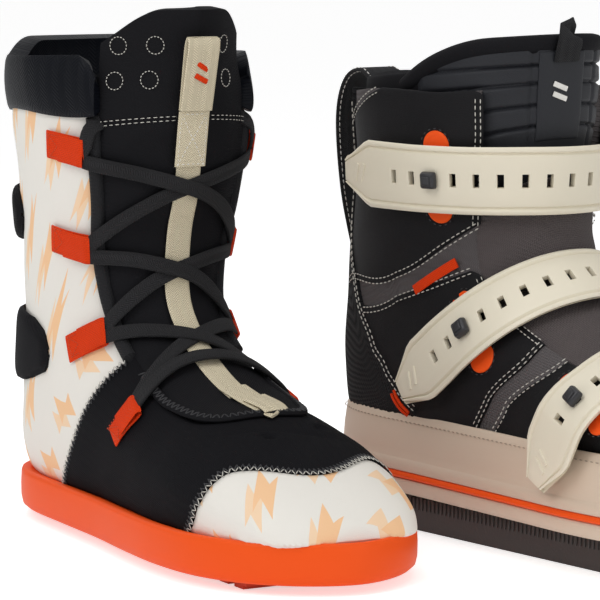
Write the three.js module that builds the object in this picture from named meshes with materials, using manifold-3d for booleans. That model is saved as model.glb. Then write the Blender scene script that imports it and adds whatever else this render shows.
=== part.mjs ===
// A laced liner boot standing beside the strapped outer boot that it fits inside, for a wake board.
// Millimetres, +Z up. The outer boot faces +Y, and the origin is the middle of its chassis underside.
import * as THREE from "three";
import { mergeVertices } from "three/addons/utils/BufferGeometryUtils.js";
import Module from "manifold-3d";

const wasm = await Module();
wasm.setup();

// ---------- driving dimensions ----------
const GAP = 0.35; // clearance between neighbouring pieces
const OUTER_HEEL_Y = -135; // the outer boot's heel, from the origin
const LINER_PLACE = [128, -232]; // the liner's heel on the floor
const LINER_TURN = -8; // degrees that the liner is turned about Z
const TOE_IN = 6; // how far the toes bend towards the inner side
const TOE_IN_FROM = 60;
const TOE_IN_LENGTH = 240;

const LINER_WALL = 6;
const LINER_SOLE_BASE = 4; // underside of the cup sole, held up by its tread
const LINER_SOLE_TOP = 24;
const OUTER_WALL = 5;
const CHASSIS_HEIGHT = 18;
const OUTSOLE_TOP = 26;
const STRIPE_TOP = 30;
const RAND_TOP = 58;

const STRAP_WIDTH = 34;
const STRAP_THICK = 3.2;
const STRAP_LIFT = 5.4; // from the upper to the strap's inner face
const SLOT = [3.2, 7.6];
const HOOK_SLOT = [15, 11.4];
const HOOK_HEAD = [7.6, 8.4, 3.4];

const rad = THREE.MathUtils.degToRad;

// ---------- the two boot forms ----------
// Each row is one section of the boot, from the toe tip, over the heel, to the top:
// front line y, z; back or sole line y, z; half width; squareness of the sole half.
const LINER_ROWS = [
  [290, 19, 290, 13, 3, 2],
  [286, 30, 286, 9, 28, 3],
  [276, 39, 276, 8.5, 39, 3.6],
  [259, 49, 256, 8.5, 47, 4],
  [234, 60, 228, 8.5, 52.5, 4],
  [210, 68, 196, 8.5, 54, 4],
  [186, 74, 163, 8.5, 51, 4],
  [165, 81, 131, 8.5, 48, 4],
  [147, 90, 99, 8.5, 46, 4],
  [132, 101, 67, 8.5, 45.5, 4],
  [122, 113, 36, 9, 45, 3.6],
  [119, 126, 12, 20, 44.5, 3],
  [120, 139, 4, 48, 44, 2.6],
  [123, 153, 4, 82, 44.5, 2.3],
  [129, 168, 7, 116, 47, 2.2],
  [132, 184, 8, 148, 50, 2.2],
  [135, 201, 7, 178, 53, 2.2],
  [138, 217, 5, 205, 55, 2.2],
  [141, 234, 3, 228, 56, 2.2],
  [146, 257, 2, 255, 56, 2.2],
];
const OUTER_ROWS = [
  [308, 42, 308, 36, 3, 2],
  [304, 56, 304, 32, 32, 3],
  [294, 68, 294, 31, 46, 3.6],
  [277, 80, 275, 31, 54, 4],
  [252, 90, 246, 31, 57.5, 4],
  [226, 98, 212, 31, 57, 4],
  [202, 105, 176, 31, 54, 4],
  [181, 112, 142, 31, 51, 4],
  [163, 121, 108, 31, 48.5, 4],
  [150, 131, 72, 31, 47.5, 4],
  [143, 142, 38, 32, 47, 3.6],
  [141, 154, 12, 44, 46.5, 3],
  [141, 167, 3, 72, 46.5, 2.6],
  [142, 178, 2, 105, 47, 2.3],
  [143, 190, 5, 139, 48.5, 2.2],
  [145, 202, 10, 170, 50, 2.2],
  [146, 214, 9, 194, 51, 2.2],
  [147, 226, 8, 212, 51.5, 2.2],
  [148, 237, 8, 227, 52, 2.2],
  [149, 248, 7, 242, 52, 2.2],
];
// Sole outlines: y from the heel and half width, heel to toe.
const LINER_OUTLINE = [
  [1, 0], [5, 23], [19, 38.5], [46, 47], [90, 49.5], [130, 51.5],
  [170, 55.5], [205, 58], [238, 55.5], [266, 44], [285, 24], [293, 0],
];
const OUTER_OUTLINE = [
  [-1, 0], [3, 25], [18, 41], [48, 50], [92, 52], [134, 55],
  [176, 59], [214, 62.5], [250, 61], [282, 50], [305, 28], [314, 0],
];

function bootForm(rows, frontSquareness) {
  const spline = (a, b) =>
    new THREE.SplineCurve(rows.map((r) => new THREE.Vector2(r[a], r[b])));
  return { last: rows.length - 1, front: spline(0, 1), back: spline(2, 3), girth: spline(4, 5), frontSquareness };
}
const ramp = THREE.MathUtils.smoothstep;
// The liner's front grows rounder towards the top of its tongue.
const LINER = bootForm(LINER_ROWS, (row) => 2.2 - 0.7 * ramp(row, 15.5, 18.5));
const OUTER = bootForm(OUTER_ROWS, () => 2.2);

const toeIn = (y) => -TOE_IN * (Math.max(0, y - TOE_IN_FROM) / TOE_IN_LENGTH) ** 1.6;

// A point of a boot's surface: row is the section, turn the degrees round it from the front line
// towards the outer side, and lift the height off the surface.
function skin(form, row, turn, lift = 0) {
  const t = row / form.last;
  const front = form.front.getPoint(t);
  const back = form.back.getPoint(t);
  const girth = form.girth.getPoint(t);
  const reach = front.distanceTo(back) / 2;
  const rise = Math.max(lift, -0.5 * Math.min(reach, girth.x));
  const c = Math.cos(rad(turn));
  const s = Math.sin(rad(turn));
  const power = 2 / (c > 0 ? form.frontSquareness(row) : girth.y);
  const along = Math.sign(c) * Math.abs(c) ** power * (reach + rise);
  const across = Math.sign(s) * Math.abs(s) ** power * (girth.x + rise);
  const spot = front.clone().add(back).multiplyScalar(0.5);
  spot.addScaledVector(front.clone().sub(back).normalize(), along);
  return new THREE.Vector3(across + toeIn(spot.x), spot.x, spot.y);
}

// ---------- solids ----------
function asSolid(geometry) {
  const bare = new THREE.BufferGeometry().setAttribute("position", geometry.getAttribute("position"));
  if (geometry.index) bare.setIndex(geometry.index);
  const merged = mergeVertices(bare, 1e-3);
  const solid = new wasm.Manifold(
    new wasm.Mesh({
      numProp: 3,
      vertProperties: merged.attributes.position.array,
      triVerts: new Uint32Array(merged.index.array),
    }),
  );
  return solid;
}

function asGeometry(solid) {
  const mesh = solid.getMesh();
  return new THREE.BufferGeometry()
    .setAttribute("position", new THREE.BufferAttribute(new Float32Array(mesh.vertProperties), 3))
    .setIndex(new THREE.BufferAttribute(new Uint32Array(mesh.triVerts), 1));
}

const cut = (geometry, ...tools) =>
  asGeometry(tools.reduce((left, tool) => left.subtract(asSolid(tool)), asSolid(geometry)));
const join = (...geometries) =>
  asGeometry(geometries.map(asSolid).reduce((sum, next) => sum.add(next)));

// A closed slab between two grids of points with the same rows and columns.
function slab(top, bottom) {
  const rows = top.length;
  const columns = top[0].length;
  const points = [...top.flat(), ...bottom.flat()];
  const at = (layer, i, j) => layer * rows * columns + i * columns + j;
  const faces = [];
  const quad = (a, b, c, d) => faces.push(a, b, c, a, c, d);
  for (let i = 0; i + 1 < rows; i++)
    for (let j = 0; j + 1 < columns; j++) {
      quad(at(0, i, j), at(0, i, j + 1), at(0, i + 1, j + 1), at(0, i + 1, j));
      quad(at(1, i, j), at(1, i + 1, j), at(1, i + 1, j + 1), at(1, i, j + 1));
    }
  for (let i = 0; i + 1 < rows; i++) {
    quad(at(0, i, 0), at(0, i + 1, 0), at(1, i + 1, 0), at(1, i, 0));
    quad(at(0, i + 1, columns - 1), at(0, i, columns - 1), at(1, i, columns - 1), at(1, i + 1, columns - 1));
  }
  for (let j = 0; j + 1 < columns; j++) {
    quad(at(0, 0, j + 1), at(0, 0, j), at(1, 0, j), at(1, 0, j + 1));
    quad(at(0, rows - 1, j), at(0, rows - 1, j + 1), at(1, rows - 1, j + 1), at(1, rows - 1, j));
  }
  const geometry = new THREE.BufferGeometry().setFromPoints(points);
  let volume = 0;
  const [a, b, c] = [new THREE.Vector3(), new THREE.Vector3(), new THREE.Vector3()];
  for (let i = 0; i < faces.length; i += 3) {
    [a, b, c].forEach((v, k) => v.copy(points[faces[i + k]]));
    volume += a.dot(b.cross(c));
  }
  geometry.setIndex(volume < 0 ? faces.reverse() : faces);
  return geometry;
}

const spread = (from, to, steps) =>
  Array.from({ length: steps + 1 }, (_, i) => from + ((to - from) * i) / steps);

// A panel of a boot: rows and turns are [from, to], lifts [inner, outer].
// A row limit may be a function of the turn, and a turn limit a function of the row, for a curved edge.
function panel(form, rows, turns, lifts, steps) {
  const value = (limit, at) => (typeof limit === "function" ? limit(at) : limit);
  const grid = (lift) =>
    spread(0, 1, steps[0]).map((s) => {
      const level = value(rows[0], 0) + (value(rows[1], 0) - value(rows[0], 0)) * s;
      return spread(...turns.map((limit) => value(limit, level)), steps[1]).map((turn) => {
        const [from, to] = rows.map((row) => value(row, turn));
        return skin(form, from + (to - from) * s, turn, lift);
      });
    });
  return slab(grid(lifts[1]), grid(lifts[0]));
}

// The insole, which lies in the bottom of a boot.
const footbed = (form, wall) => panel(form, [1.4, 10], [128, 232], [-wall - 5, -wall - 1.5], [12, 6]);

// The whole boot as one closed solid, used to cut soles to its shape.
function bootBody(form, topRow, lift) {
  const around = 24;
  const rings = spread(0, topRow, 26).map((row) =>
    spread(0, 360, around).slice(0, -1).map((turn) => skin(form, row, turn, lift)),
  );
  const points = rings.flat();
  const faces = [];
  for (let i = 0; i + 1 < rings.length; i++)
    for (let j = 0; j < around; j++) {
      const [a, b] = [i * around + j, i * around + ((j + 1) % around)];
      faces.push(a, b, b + around, a, b + around, a + around);
    }
  for (let j = 1; j + 1 < around; j++) {
    const end = (rings.length - 1) * around;
    faces.push(0, j + 1, j, end, end + j, end + j + 1);
  }
  const geometry = new THREE.BufferGeometry().setFromPoints(points).setIndex(faces);
  if (asSolid(geometry).volume() < 0) geometry.setIndex(faces.reverse());
  return geometry;
}

function outlineShape(outline, grow, steps = 36) {
  const side = new THREE.SplineCurve(outline.map(([y, x]) => new THREE.Vector2(x, y)));
  const half = side.getPoints(steps / 2);
  const middle = (outline[0][0] + outline[outline.length - 1][0]) / 2;
  const length = outline[outline.length - 1][0] - outline[0][0];
  const place = (p, sign) => {
    const y = middle + (p.y - middle) * (1 + (2 * grow) / length);
    const widest = Math.max(...outline.map((o) => o[1]));
    return new THREE.Vector2(sign * p.x * (1 + grow / widest) + toeIn(y), y);
  };
  const points = [
    ...half.map((p) => place(p, 1)),
    ...half.slice(1, -1).reverse().map((p) => place(p, -1)),
  ];
  return new THREE.Shape(points);
}

function plate(shape, base, top) {
  const geometry = new THREE.ExtrudeGeometry(shape, { depth: top - base, bevelEnabled: false });
  return geometry.translate(0, 0, base);
}

const block = (size, centre) => new THREE.BoxGeometry(...size).translate(...centre);

// ---------- frames on the surface ----------
// Where a path on the boot is, with its directions: along the path, across it, and out of the boot.
function frameAt(form, path, s) {
  const spot = (u) => skin(form, ...path(u));
  const small = 0.004;
  const centre = spot(s);
  const along = spot(s + small).sub(spot(s - small)).normalize();
  const [row, turn] = path(s);
  const byRow = skin(form, row + 0.05, turn).sub(skin(form, row - 0.05, turn));
  const byTurn = skin(form, row, turn + 1).sub(skin(form, row, turn - 1));
  const out = new THREE.Vector3().crossVectors(byTurn, byRow).normalize();
  if (out.x * Math.sin(rad(turn)) + out.y * Math.cos(rad(turn)) * 0.3 < 0) out.negate();
  const across = new THREE.Vector3().crossVectors(out, along).normalize();
  return { centre, along, across, out: new THREE.Vector3().crossVectors(along, across) };
}

function placed(geometry, frame, lift) {
  const matrix = new THREE.Matrix4().makeBasis(frame.along, frame.across, frame.out);
  matrix.setPosition(frame.centre.clone().addScaledVector(frame.out, lift));
  return geometry.applyMatrix4(matrix);
}

const disc = (radius, height) =>
  new THREE.CylinderGeometry(radius, radius, height, 14).rotateX(Math.PI / 2).translate(0, 0, height / 2);

// ---------- straps ----------
// Each strap follows a plane round the front of the outer boot, through y and z at the given slope.
// The anchor, hook, split and tail are turns: s is 0 at the inner anchor and 1 at the tail.
const STRAPS = {
  upper: { y: 146, z: 176, slope: 0, anchor: -100, split: 32, hookAt: 68, tail: 114, flare: 0, plate: 1.9 },
  middle: { y: 161, z: 129, slope: 0.78, anchor: -86, split: 34, hookAt: 67, tail: 97, flare: 0, plate: 2.3 },
  lower: { y: 197, z: 41, slope: 1.78, anchor: -92, split: 36, hookAt: 70, tail: 116, flare: 6, plate: 1.3 },
};

function strapPath(strap) {
  const above = (row, turn) => {
    const point = skin(OUTER, row, turn);
    return point.z - strap.z - strap.slope * (point.y - strap.y);
  };
  return (s) => {
    const turn = strap.anchor + (strap.tail - strap.anchor) * s;
    let [low, high] = [2, 18];
    for (let i = 0; i < 30; i++) {
      const middle = (low + high) / 2;
      if (above(middle, turn) < 0) low = middle;
      else high = middle;
    }
    return [low, turn];
  };
}
// The inner face of a strap stands further out at its sides, where it passes over the rand.
function strapLift(strap, s) {
  const turn = Math.abs(strap.anchor + (strap.tail - strap.anchor) * s);
  return STRAP_LIFT + strap.flare * THREE.MathUtils.smoothstep(turn, 55, 88);
}
const sOf = (strap, turn) => (turn - strap.anchor) / (strap.tail - strap.anchor);

function strapLength(strap, from, to) {
  const path = strapPath(strap);
  const points = spread(from, to, 40).map((s) => skin(OUTER, ...path(s), STRAP_LIFT));
  return points.slice(1).reduce((sum, p, i) => sum + p.distanceTo(points[i]), 0);
}

function strapPiece(strap, from, to, slots, hookS, steps) {
  const path = strapPath(strap);
  const whole = strapLength(strap, 0, 1);
  const taper = 16;
  const halfWidth = (s) => {
    const left = (1 - s) * whole;
    return left < taper ? 7 + ((STRAP_WIDTH / 2 - 7) * left) / taper : STRAP_WIDTH / 2;
  };
  const bends = to === 1 ? [...spread(from, 1 - taper / whole, steps), 1] : spread(from, to, steps);
  const grid = (lift) =>
    bends.map((s) => {
      const frame = frameAt(OUTER, path, Math.min(s, 0.995));
      return [-1, 0, 1].map((side) =>
        frame.centre
          .clone()
          .addScaledVector(frame.out, strapLift(strap, s) + lift)
          .addScaledVector(frame.across, side * halfWidth(s)),
      );
    });
  const body = slab(grid(STRAP_THICK), grid(0));
  const holes = slots.map((s) =>
    placed(block([...(s === hookS ? HOOK_SLOT : SLOT), 30], [0, 0, 0]), frameAt(OUTER, path, s), strapLift(strap, s)),
  );
  return cut(body, ...holes);
}

function strapParts(name) {
  const strap = STRAPS[name];
  const path = strapPath(strap);
  const split = sOf(strap, strap.split);
  const hookS = sOf(strap, strap.hookAt);
  const pitch = 11.4 / strapLength(strap, 0, 1);
  const slotsBetween = (from, to) =>
    spread(-12, 12, 24).map((k) => hookS + k * pitch).filter((s) => s > from && s < to);
  const half = 0.3 / strapLength(strap, 0, 1);
  const edge = 6 / strapLength(strap, 0, 1);
  const tailEnd = 1 - 26 / strapLength(strap, 0, 1);
  const front = sOf(strap, -30);
  const hookFrame = frameAt(OUTER, path, hookS);
  const stemFoot = 0.5;
  const headBase = strapLift(strap, hookS) + STRAP_THICK + 0.6;
  const hook = join(
    placed(disc(6.5, 2.4), hookFrame, stemFoot),
    placed(block([4, 6, headBase + 1], [0, 0, headBase / 2 + 0.5]), hookFrame, stemFoot),
    placed(block(HOOK_HEAD, [0, 0, HOOK_HEAD[2] / 2]), hookFrame, headBase),
  );
  const plate = cut(
    placed(join(block([19, 32, 1.4], [0, 0, 0.7]), ...[-16, 16].map((y) => disc(7, 1.5).translate(0, y, 0))),
      hookFrame, strap.plate),
    placed(disc(6.9, 5), hookFrame, 0),
  );
  return {
    band: strapPiece(strap, 0, split - half, slotsBetween(front, split - edge), null, 11),
    flap: strapPiece(strap, split + half, 1, slotsBetween(split + edge, tailEnd), hookS, 8),
    hook,
    plate,
  };
}

// ---------- materials ----------
const material = (color, roughness, metalness = 0) =>
  new THREE.MeshStandardMaterial({ color, roughness, metalness });
const FINISH = {
  neoprene: material(0x1c1c20, 0.85),
  printed: material(0xe9e4d8, 0.7),
  orange: material(0xf4561c, 0.55),
  webbing: material(0xe3d5b4, 0.8),
  lace: material(0x17171a, 0.9),
  upper: material(0x232226, 0.7),
  mesh: material(0x4a4446, 0.9),
  rand: material(0xd3b6a0, 0.5),
  strap: material(0xe4dcc4, 0.4),
  hard: material(0x2b2a2e, 0.45),
  steel: material(0x55565a, 0.35, 0.9),
};

function group(parts) {
  const made = new THREE.Group();
  for (const [name, [geometry, finish]] of Object.entries(parts)) {
    const mesh = new THREE.Mesh(geometry, FINISH[finish]);
    mesh.name = name;
    made.add(mesh);
  }
  return made;
}

// ---------- liner boot ----------
// Lace loops, each a name, the row and turn of its front and of its back, and half its height in rows.
const LOOPS = [
  ["one", 15.57, 54, 15.95, 77, 0.38],
  ["two", 13.06, 53, 13.88, 80, 0.4],
  ["three", 10.05, 44, 10.75, 69, 0.5],
  ["four", 7.17, 52, 7.3, 78, 0.45],
];
// The opening down the front of the liner, from the front line to the edge of the shaft.
const openingEdge = (row) => 43 + 11 * ramp(row, 9.8, 13.8);
const FACING_WIDTH = 8; // degrees
// The collar is higher at the back than at its two flaps.
const collarTop = (turn) => 18.36 - 0.36 * ramp(Math.abs(turn - 180), 22, 55);
const toeSeam = (turn) => 3.1 + 0.7 * ramp(Math.abs(turn), 0, 50) + 0.4 * ramp(Math.abs(turn), 75, 120);
const LACE_LIFT = [3.1, 4.6];
const LACE_HALF = 4.2;

function laceStrand(rowA, turnA, rowB, turnB) {
  const path = (s) => [rowA + (rowB - rowA) * s, turnA + (turnB - turnA) * s];
  const grid = (lift) =>
    spread(0, 1, 6).map((s) => {
      const frame = frameAt(LINER, path, s);
      return [-1, 1].map((side) =>
        frame.centre.clone().addScaledVector(frame.out, lift).addScaledVector(frame.across, side * LACE_HALF),
      );
    });
  return slab(grid(LACE_LIFT[1]), grid(LACE_LIFT[0]));
}

function lace() {
  const front = (i) => LOOPS[i][2] - 3.5;
  const upper = (i) => LOOPS[i][1] + 0.22;
  const lower = (i) => LOOPS[i][1] - 0.22;
  const strands = [];
  for (const sign of [1, -1]) {
    for (let i = 0; i < 3; i++)
      strands.push(laceStrand(lower(i), sign * front(i), upper(i + 1), -sign * front(i + 1)));
    for (let i = 0; i < 4; i++)
      strands.push(
        panel(LINER, [lower(i) - 0.3, upper(i) + 0.3], [sign * (front(i) - 5), sign * front(i)], LACE_LIFT, [2, 1]),
      );
    strands.push(laceStrand(upper(0), sign * (front(0) - 1), 16.4, sign * 46));
  }
  strands.push(laceStrand(lower(3), front(3), lower(3), -front(3)));
  return join(...strands);
}

// The tongue fills the opening and stands up above the collar, with rounded corners.
function linerTongue() {
  const edge = (row) => openingEdge(row) - FACING_WIDTH - 1.5;
  const top = (turn) => 19 - 0.6 * ramp(Math.abs(turn), 26, 46);
  return panel(LINER, [5.23, top], [(row) => -edge(row), edge], [-LINER_WALL, 0], [18, 8]);
}

// The vamp covers the instep and runs back along both sides of the tongue.
const linerVamp = () =>
  join(
    panel(LINER, [(turn) => toeSeam(turn) + 0.03, 5.2], [-150, 150], [-LINER_WALL, 0], [3, 20]),
    panel(LINER, [5.1, 8.8], [34.5, 150], [-LINER_WALL, 0], [5, 7]),
    panel(LINER, [5.1, 8.8], [-150, -34.5], [-LINER_WALL, 0], [5, 7]),
  );

function treadPad(y0, y1, halfWidth) {
  const ribs = 6;
  const step = (y1 - y0) / ribs;
  const base = block([2 * halfWidth, y1 - y0, 2], [toeIn((y0 + y1) / 2), (y0 + y1) / 2, 2.65]);
  const bars = spread(y0, y1 - step, ribs - 1).map((y) =>
    block([2 * halfWidth, step * 0.6, 1.8], [toeIn((y0 + y1) / 2), y + step / 2, 0.9]),
  );
  return join(base, ...bars);
}

function linerBoot() {
  const body = bootBody(LINER, 13, 4 * GAP);
  const parts = {
    liner_outsole: [cut(plate(outlineShape(LINER_OUTLINE, 0), LINER_SOLE_BASE, LINER_SOLE_TOP), body), "orange"],
    liner_tread_front: [treadPad(172, 258, 38), "orange"],
    liner_tread_heel: [treadPad(18, 88, 30), "orange"],
    liner_footbed: [footbed(LINER, LINER_WALL), "lace"],
    liner_toe_panel: [panel(LINER, [0.1, toeSeam], [-150, 150], [-LINER_WALL, 0], [6, 20]), "printed"],
    liner_vamp: [linerVamp(), "neoprene"],
    liner_tongue: [linerTongue(), "neoprene"],
    liner_shaft: [
      panel(LINER, [8.83, 16.4], [openingEdge, (row) => 360 - openingEdge(row)], [-LINER_WALL, 0], [11, 16]),
      "printed",
    ],
    liner_collar: [panel(LINER, [16.45, collarTop], [47, 313], [-LINER_WALL - 2, 1], [3, 16]), "neoprene"],
    liner_tongue_strip: [panel(LINER, [5.4, 16.6], [-6.5, 6.5], [1.05, 2.1], [16, 1]), "webbing"],
    liner_heel_pad_upper: [panel(LINER, [14.2, 15.5], [128, 232], [0.8, 6], [3, 9]), "hard"],
    liner_heel_pad_lower: [panel(LINER, [11.7, 13], [102, 258], [0.8, 5], [3, 12]), "hard"],
    liner_lace: [lace(), "lace"],
  };
  for (const [side, sign] of [["outer", 1], ["inner", -1]]) {
    const turns = (from, to) => (sign > 0 ? [from, to] : [-to, -from]);
    const facing = [
      (row) => sign * (openingEdge(row) - (sign > 0 ? FACING_WIDTH : 0.5)),
      (row) => sign * (openingEdge(row) - (sign > 0 ? 0.5 : FACING_WIDTH)),
    ];
    parts[`liner_facing_${side}`] = [
      panel(LINER, [8.83, 16.4], facing, [-LINER_WALL, 0.4], [11, 1]),
      "neoprene",
    ];
    for (const [name, row, turn, backRow, backTurn, half] of LOOPS) {
      const level = (at) => row + ((backRow - row) * (Math.abs(at) - turn)) / (backTurn - turn);
      const rows = [(at) => level(at) - half, (at) => level(at) + half];
      parts[`liner_lace_loop_${side}_${name}`] = [
        panel(LINER, rows, turns(turn, backTurn), [0.9, 4.2], [2, 3]),
        "orange",
      ];
    }
  }
  return group(parts);
}

// The folded webbing loop at the top of the liner's tongue, which flops about its lower, sewn end.
function linerPullLoop() {
  const path = (s) => [16.5 + 2 * s, 0];
  const grid = (lift) =>
    spread(0, 1, 6).map((s) => {
      const frame = frameAt(LINER, path, s);
      return [-1, 1].map((side) =>
        frame.centre.clone().addScaledVector(frame.out, lift).addScaledVector(frame.across, side * 9.5),
      );
    });
  return group({ liner_pull_loop: [slab(grid(6), grid(2.4)), "webbing"] });
}

// ---------- outer boot ----------
function chassisRail(sign) {
  const [back, front] = [-112, 112];
  const teeth = 28;
  const pitch = (front - back) / teeth;
  const shape = new THREE.Shape([new THREE.Vector2(back, 0), new THREE.Vector2(front, 0)]);
  for (let i = teeth; i > 0; i--) {
    const y = back + i * pitch;
    shape.lineTo(y, CHASSIS_HEIGHT - 0.2);
    shape.lineTo(y - pitch * 0.5, CHASSIS_HEIGHT - 0.2);
    shape.lineTo(y - pitch * 0.5, CHASSIS_HEIGHT - 2.4);
    if (i > 1) shape.lineTo(y - pitch, CHASSIS_HEIGHT - 2.4);
  }
  shape.lineTo(back, CHASSIS_HEIGHT - 2.4);
  const rail = new THREE.ExtrudeGeometry(shape, { depth: 9, bevelEnabled: false });
  rail.applyMatrix4(new THREE.Matrix4().set(0, 0, 1, 0, 1, 0, 0, 0, 0, 1, 0, 0, 0, 0, 0, 1));
  return rail.translate(sign > 0 ? 34 : -43, 0, 0);
}

function chassis() {
  const bars = [-96, 0, 96].map((y) => block([70, 30, 6], [0, y, 3]));
  const frame = join(chassisRail(1), chassisRail(-1), ...bars);
  const bolts = [-96, 96].flatMap((y) =>
    [-14, 14].map((x) => new THREE.CylinderGeometry(3.3, 3.3, 20, 10).rotateX(Math.PI / 2).translate(x, y, 3)),
  );
  const sideHoles = [-96, 96].map((y) =>
    new THREE.CylinderGeometry(2.4, 2.4, 120, 10).rotateZ(Math.PI / 2).translate(0, y, 9.5),
  );
  const parts = { chassis_frame: [cut(frame, ...bolts, ...sideHoles), "hard"] };
  const endBlock = (y0, y1) => join(
    block([86, Math.abs(y1 - y0), CHASSIS_HEIGHT - 1], [0, (y0 + y1) / 2, (CHASSIS_HEIGHT - 1) / 2]),
    block([74, Math.abs(y1 - y0) - 6, CHASSIS_HEIGHT - 0.4], [0, (y0 + y1) / 2, (CHASSIS_HEIGHT - 0.4) / 2]),
  );
  parts.chassis_block_front = [endBlock(112 + GAP, 138), "hard"];
  parts.chassis_block_rear = [endBlock(-112 - GAP, -126), "hard"];
  for (const [end, y] of [["front", 96], ["rear", -96]])
    for (const [side, sign] of [["outer", 1], ["inner", -1]]) {
      const screw = new THREE.CylinderGeometry(2.1, 2.1, 9, 10).rotateZ(Math.PI / 2);
      const head = new THREE.CylinderGeometry(4.2, 4.2, 2, 10).rotateZ(Math.PI / 2).translate(sign * 5.5, 0, 0);
      parts[`chassis_screw_${end}_${side}`] = [join(screw, head).translate(sign * 38.9, y, 9.5), "steel"];
    }
  return group(parts);
}

// A webbing loop from the collar, out behind the heel and back in, with a finger gap.
function rearPullLoop() {
  const curve = new THREE.CatmullRomCurve3(
    [[8, 214], [-4, 222], [-17, 216], [-23, 196], [-19, 160], [-9, 128], [-1, 100]].map(
      ([y, z]) => new THREE.Vector3(0, y, z),
    ),
  );
  const inner = curve.getPoints(18);
  const grid = (lift) =>
    inner.map((p, i) => {
      const tangent = curve.getTangent(i / 18);
      const out = new THREE.Vector3(0, -tangent.z, tangent.y);
      return [-1, 1].map((side) => p.clone().addScaledVector(out, lift).add(new THREE.Vector3(side * 12, 0, 0)));
    });
  return slab(grid(-1.3), grid(1.3));
}

function outerBoot() {
  const body = bootBody(OUTER, 13, 4 * GAP);
  const sole = (grow, base, top) => plate(outlineShape(OUTER_OUTLINE, grow), base, top);
  const parts = {
    outsole: [sole(-1, CHASSIS_HEIGHT + GAP, OUTSOLE_TOP), "rand"],
    sole_stripe: [sole(0.6, OUTSOLE_TOP + GAP, STRIPE_TOP - 0.3), "orange"],
    rand: [cut(sole(-0.6, STRIPE_TOP, RAND_TOP), body), "rand"],
    footbed: [footbed(OUTER, OUTER_WALL), "lace"],
    toe_cap: [panel(OUTER, [0.1, 3.2], [-150, 150], [-OUTER_WALL, 0], [6, 16]), "rand"],
    vamp: [panel(OUTER, [3.23, 5.2], [-150, 150], [-OUTER_WALL, 0], [3, 16]), "upper"],
    quarter_outer: [panel(OUTER, [5.24, 17], [49, 150], [-OUTER_WALL, 0], [14, 6]), "upper"],
    quarter_inner: [panel(OUTER, [5.24, 17], [-150, -49], [-OUTER_WALL, 0], [14, 6]), "upper"],
    heel_counter: [panel(OUTER, [9.44, 17], [150.6, 209.4], [-OUTER_WALL, 0], [9, 4]), "mesh"],
    gusset: [panel(OUTER, [5.24, 12.8], [-48.4, 48.4], [-OUTER_WALL, 0], [9, 6]), "mesh"],
    tongue: [
      panel(OUTER, [12.2, (turn) => 18.6 - 1.5 * THREE.MathUtils.smoothstep(Math.abs(turn), 55, 90)],
        [-86, 86], [-OUTER_WALL - 7, -OUTER_WALL - 1.2], [7, 12]),
      "neoprene",
    ],
    tongue_tab: [panel(OUTER, [14.2, 17.9], [-8, 18], [-OUTER_WALL - 0.7, 1 - OUTER_WALL], [6, 3]), "upper"],
    collar_lining: [panel(OUTER, [14.4, 17.6], [90, 270], [-OUTER_WALL - 7, -OUTER_WALL - 1.2], [3, 11]), "neoprene"],
    side_tag: [panel(OUTER, [11.2, 11.75], [60, 83], [0.5, 1.5], [1, 4]), "orange"],
    heel_piping: [panel(OUTER, [10, 10.7], [99, 102], [0.5, 1.9], [3, 1]), "orange"],
    rear_pull_loop: [cut(rearPullLoop(), bootBody(OUTER, 19, 1.2)), "upper"],
  };
  const flaps = {};
  for (const name of Object.keys(STRAPS)) {
    const made = strapParts(name);
    parts[`strap_${name}`] = [made.band, "strap"];
    parts[`strap_${name}_hook`] = [made.hook, "hard"];
    parts[`strap_${name}_eyelets`] = [made.plate, "orange"];
    flaps[`strap_${name}_flap`] = [made.flap, "strap"];
  }
  const made = group({ ...parts, ...flaps });
  made.position.y = OUTER_HEEL_Y;
  return made;
}

// ---------- the pair ----------
const pair = new THREE.Group();
const liner = linerBoot();
liner.add(...linerPullLoop().children);
liner.position.set(...LINER_PLACE, 0);
liner.rotation.z = rad(LINER_TURN);
pair.add(outerBoot(), chassis(), liner);

export default pair;
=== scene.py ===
"""A laced liner boot beside the strapped wakeboard boot it fits inside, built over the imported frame."""

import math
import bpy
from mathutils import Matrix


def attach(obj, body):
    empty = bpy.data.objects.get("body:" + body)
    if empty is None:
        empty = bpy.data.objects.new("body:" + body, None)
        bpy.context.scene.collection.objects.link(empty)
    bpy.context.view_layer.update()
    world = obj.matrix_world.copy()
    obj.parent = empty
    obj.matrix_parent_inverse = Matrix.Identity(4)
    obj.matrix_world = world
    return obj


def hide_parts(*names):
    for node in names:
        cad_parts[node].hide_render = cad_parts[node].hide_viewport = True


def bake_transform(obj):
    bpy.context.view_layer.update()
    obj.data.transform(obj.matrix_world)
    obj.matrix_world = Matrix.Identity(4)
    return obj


bl_info = {
    "name": "Wakeboard Boot Set",
    "version": (1, 0, 0),
    "blender": (4, 5, 0),
    "location": "View3D > Sidebar > Boots",
    "description": "Builds the pieces and finishes of a liner boot and its strapped outer boot",
    "category": "Object",
}

import bpy
import numpy as np
from bpy.props import FloatProperty, FloatVectorProperty, PointerProperty
from mathutils import Vector

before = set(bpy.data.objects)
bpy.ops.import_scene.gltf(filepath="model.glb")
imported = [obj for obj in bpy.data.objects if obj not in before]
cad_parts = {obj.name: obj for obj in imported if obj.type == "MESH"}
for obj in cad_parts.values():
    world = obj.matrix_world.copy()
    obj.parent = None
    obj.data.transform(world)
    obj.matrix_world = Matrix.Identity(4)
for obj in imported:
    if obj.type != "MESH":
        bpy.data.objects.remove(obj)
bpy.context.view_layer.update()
MM = 0.001

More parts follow.
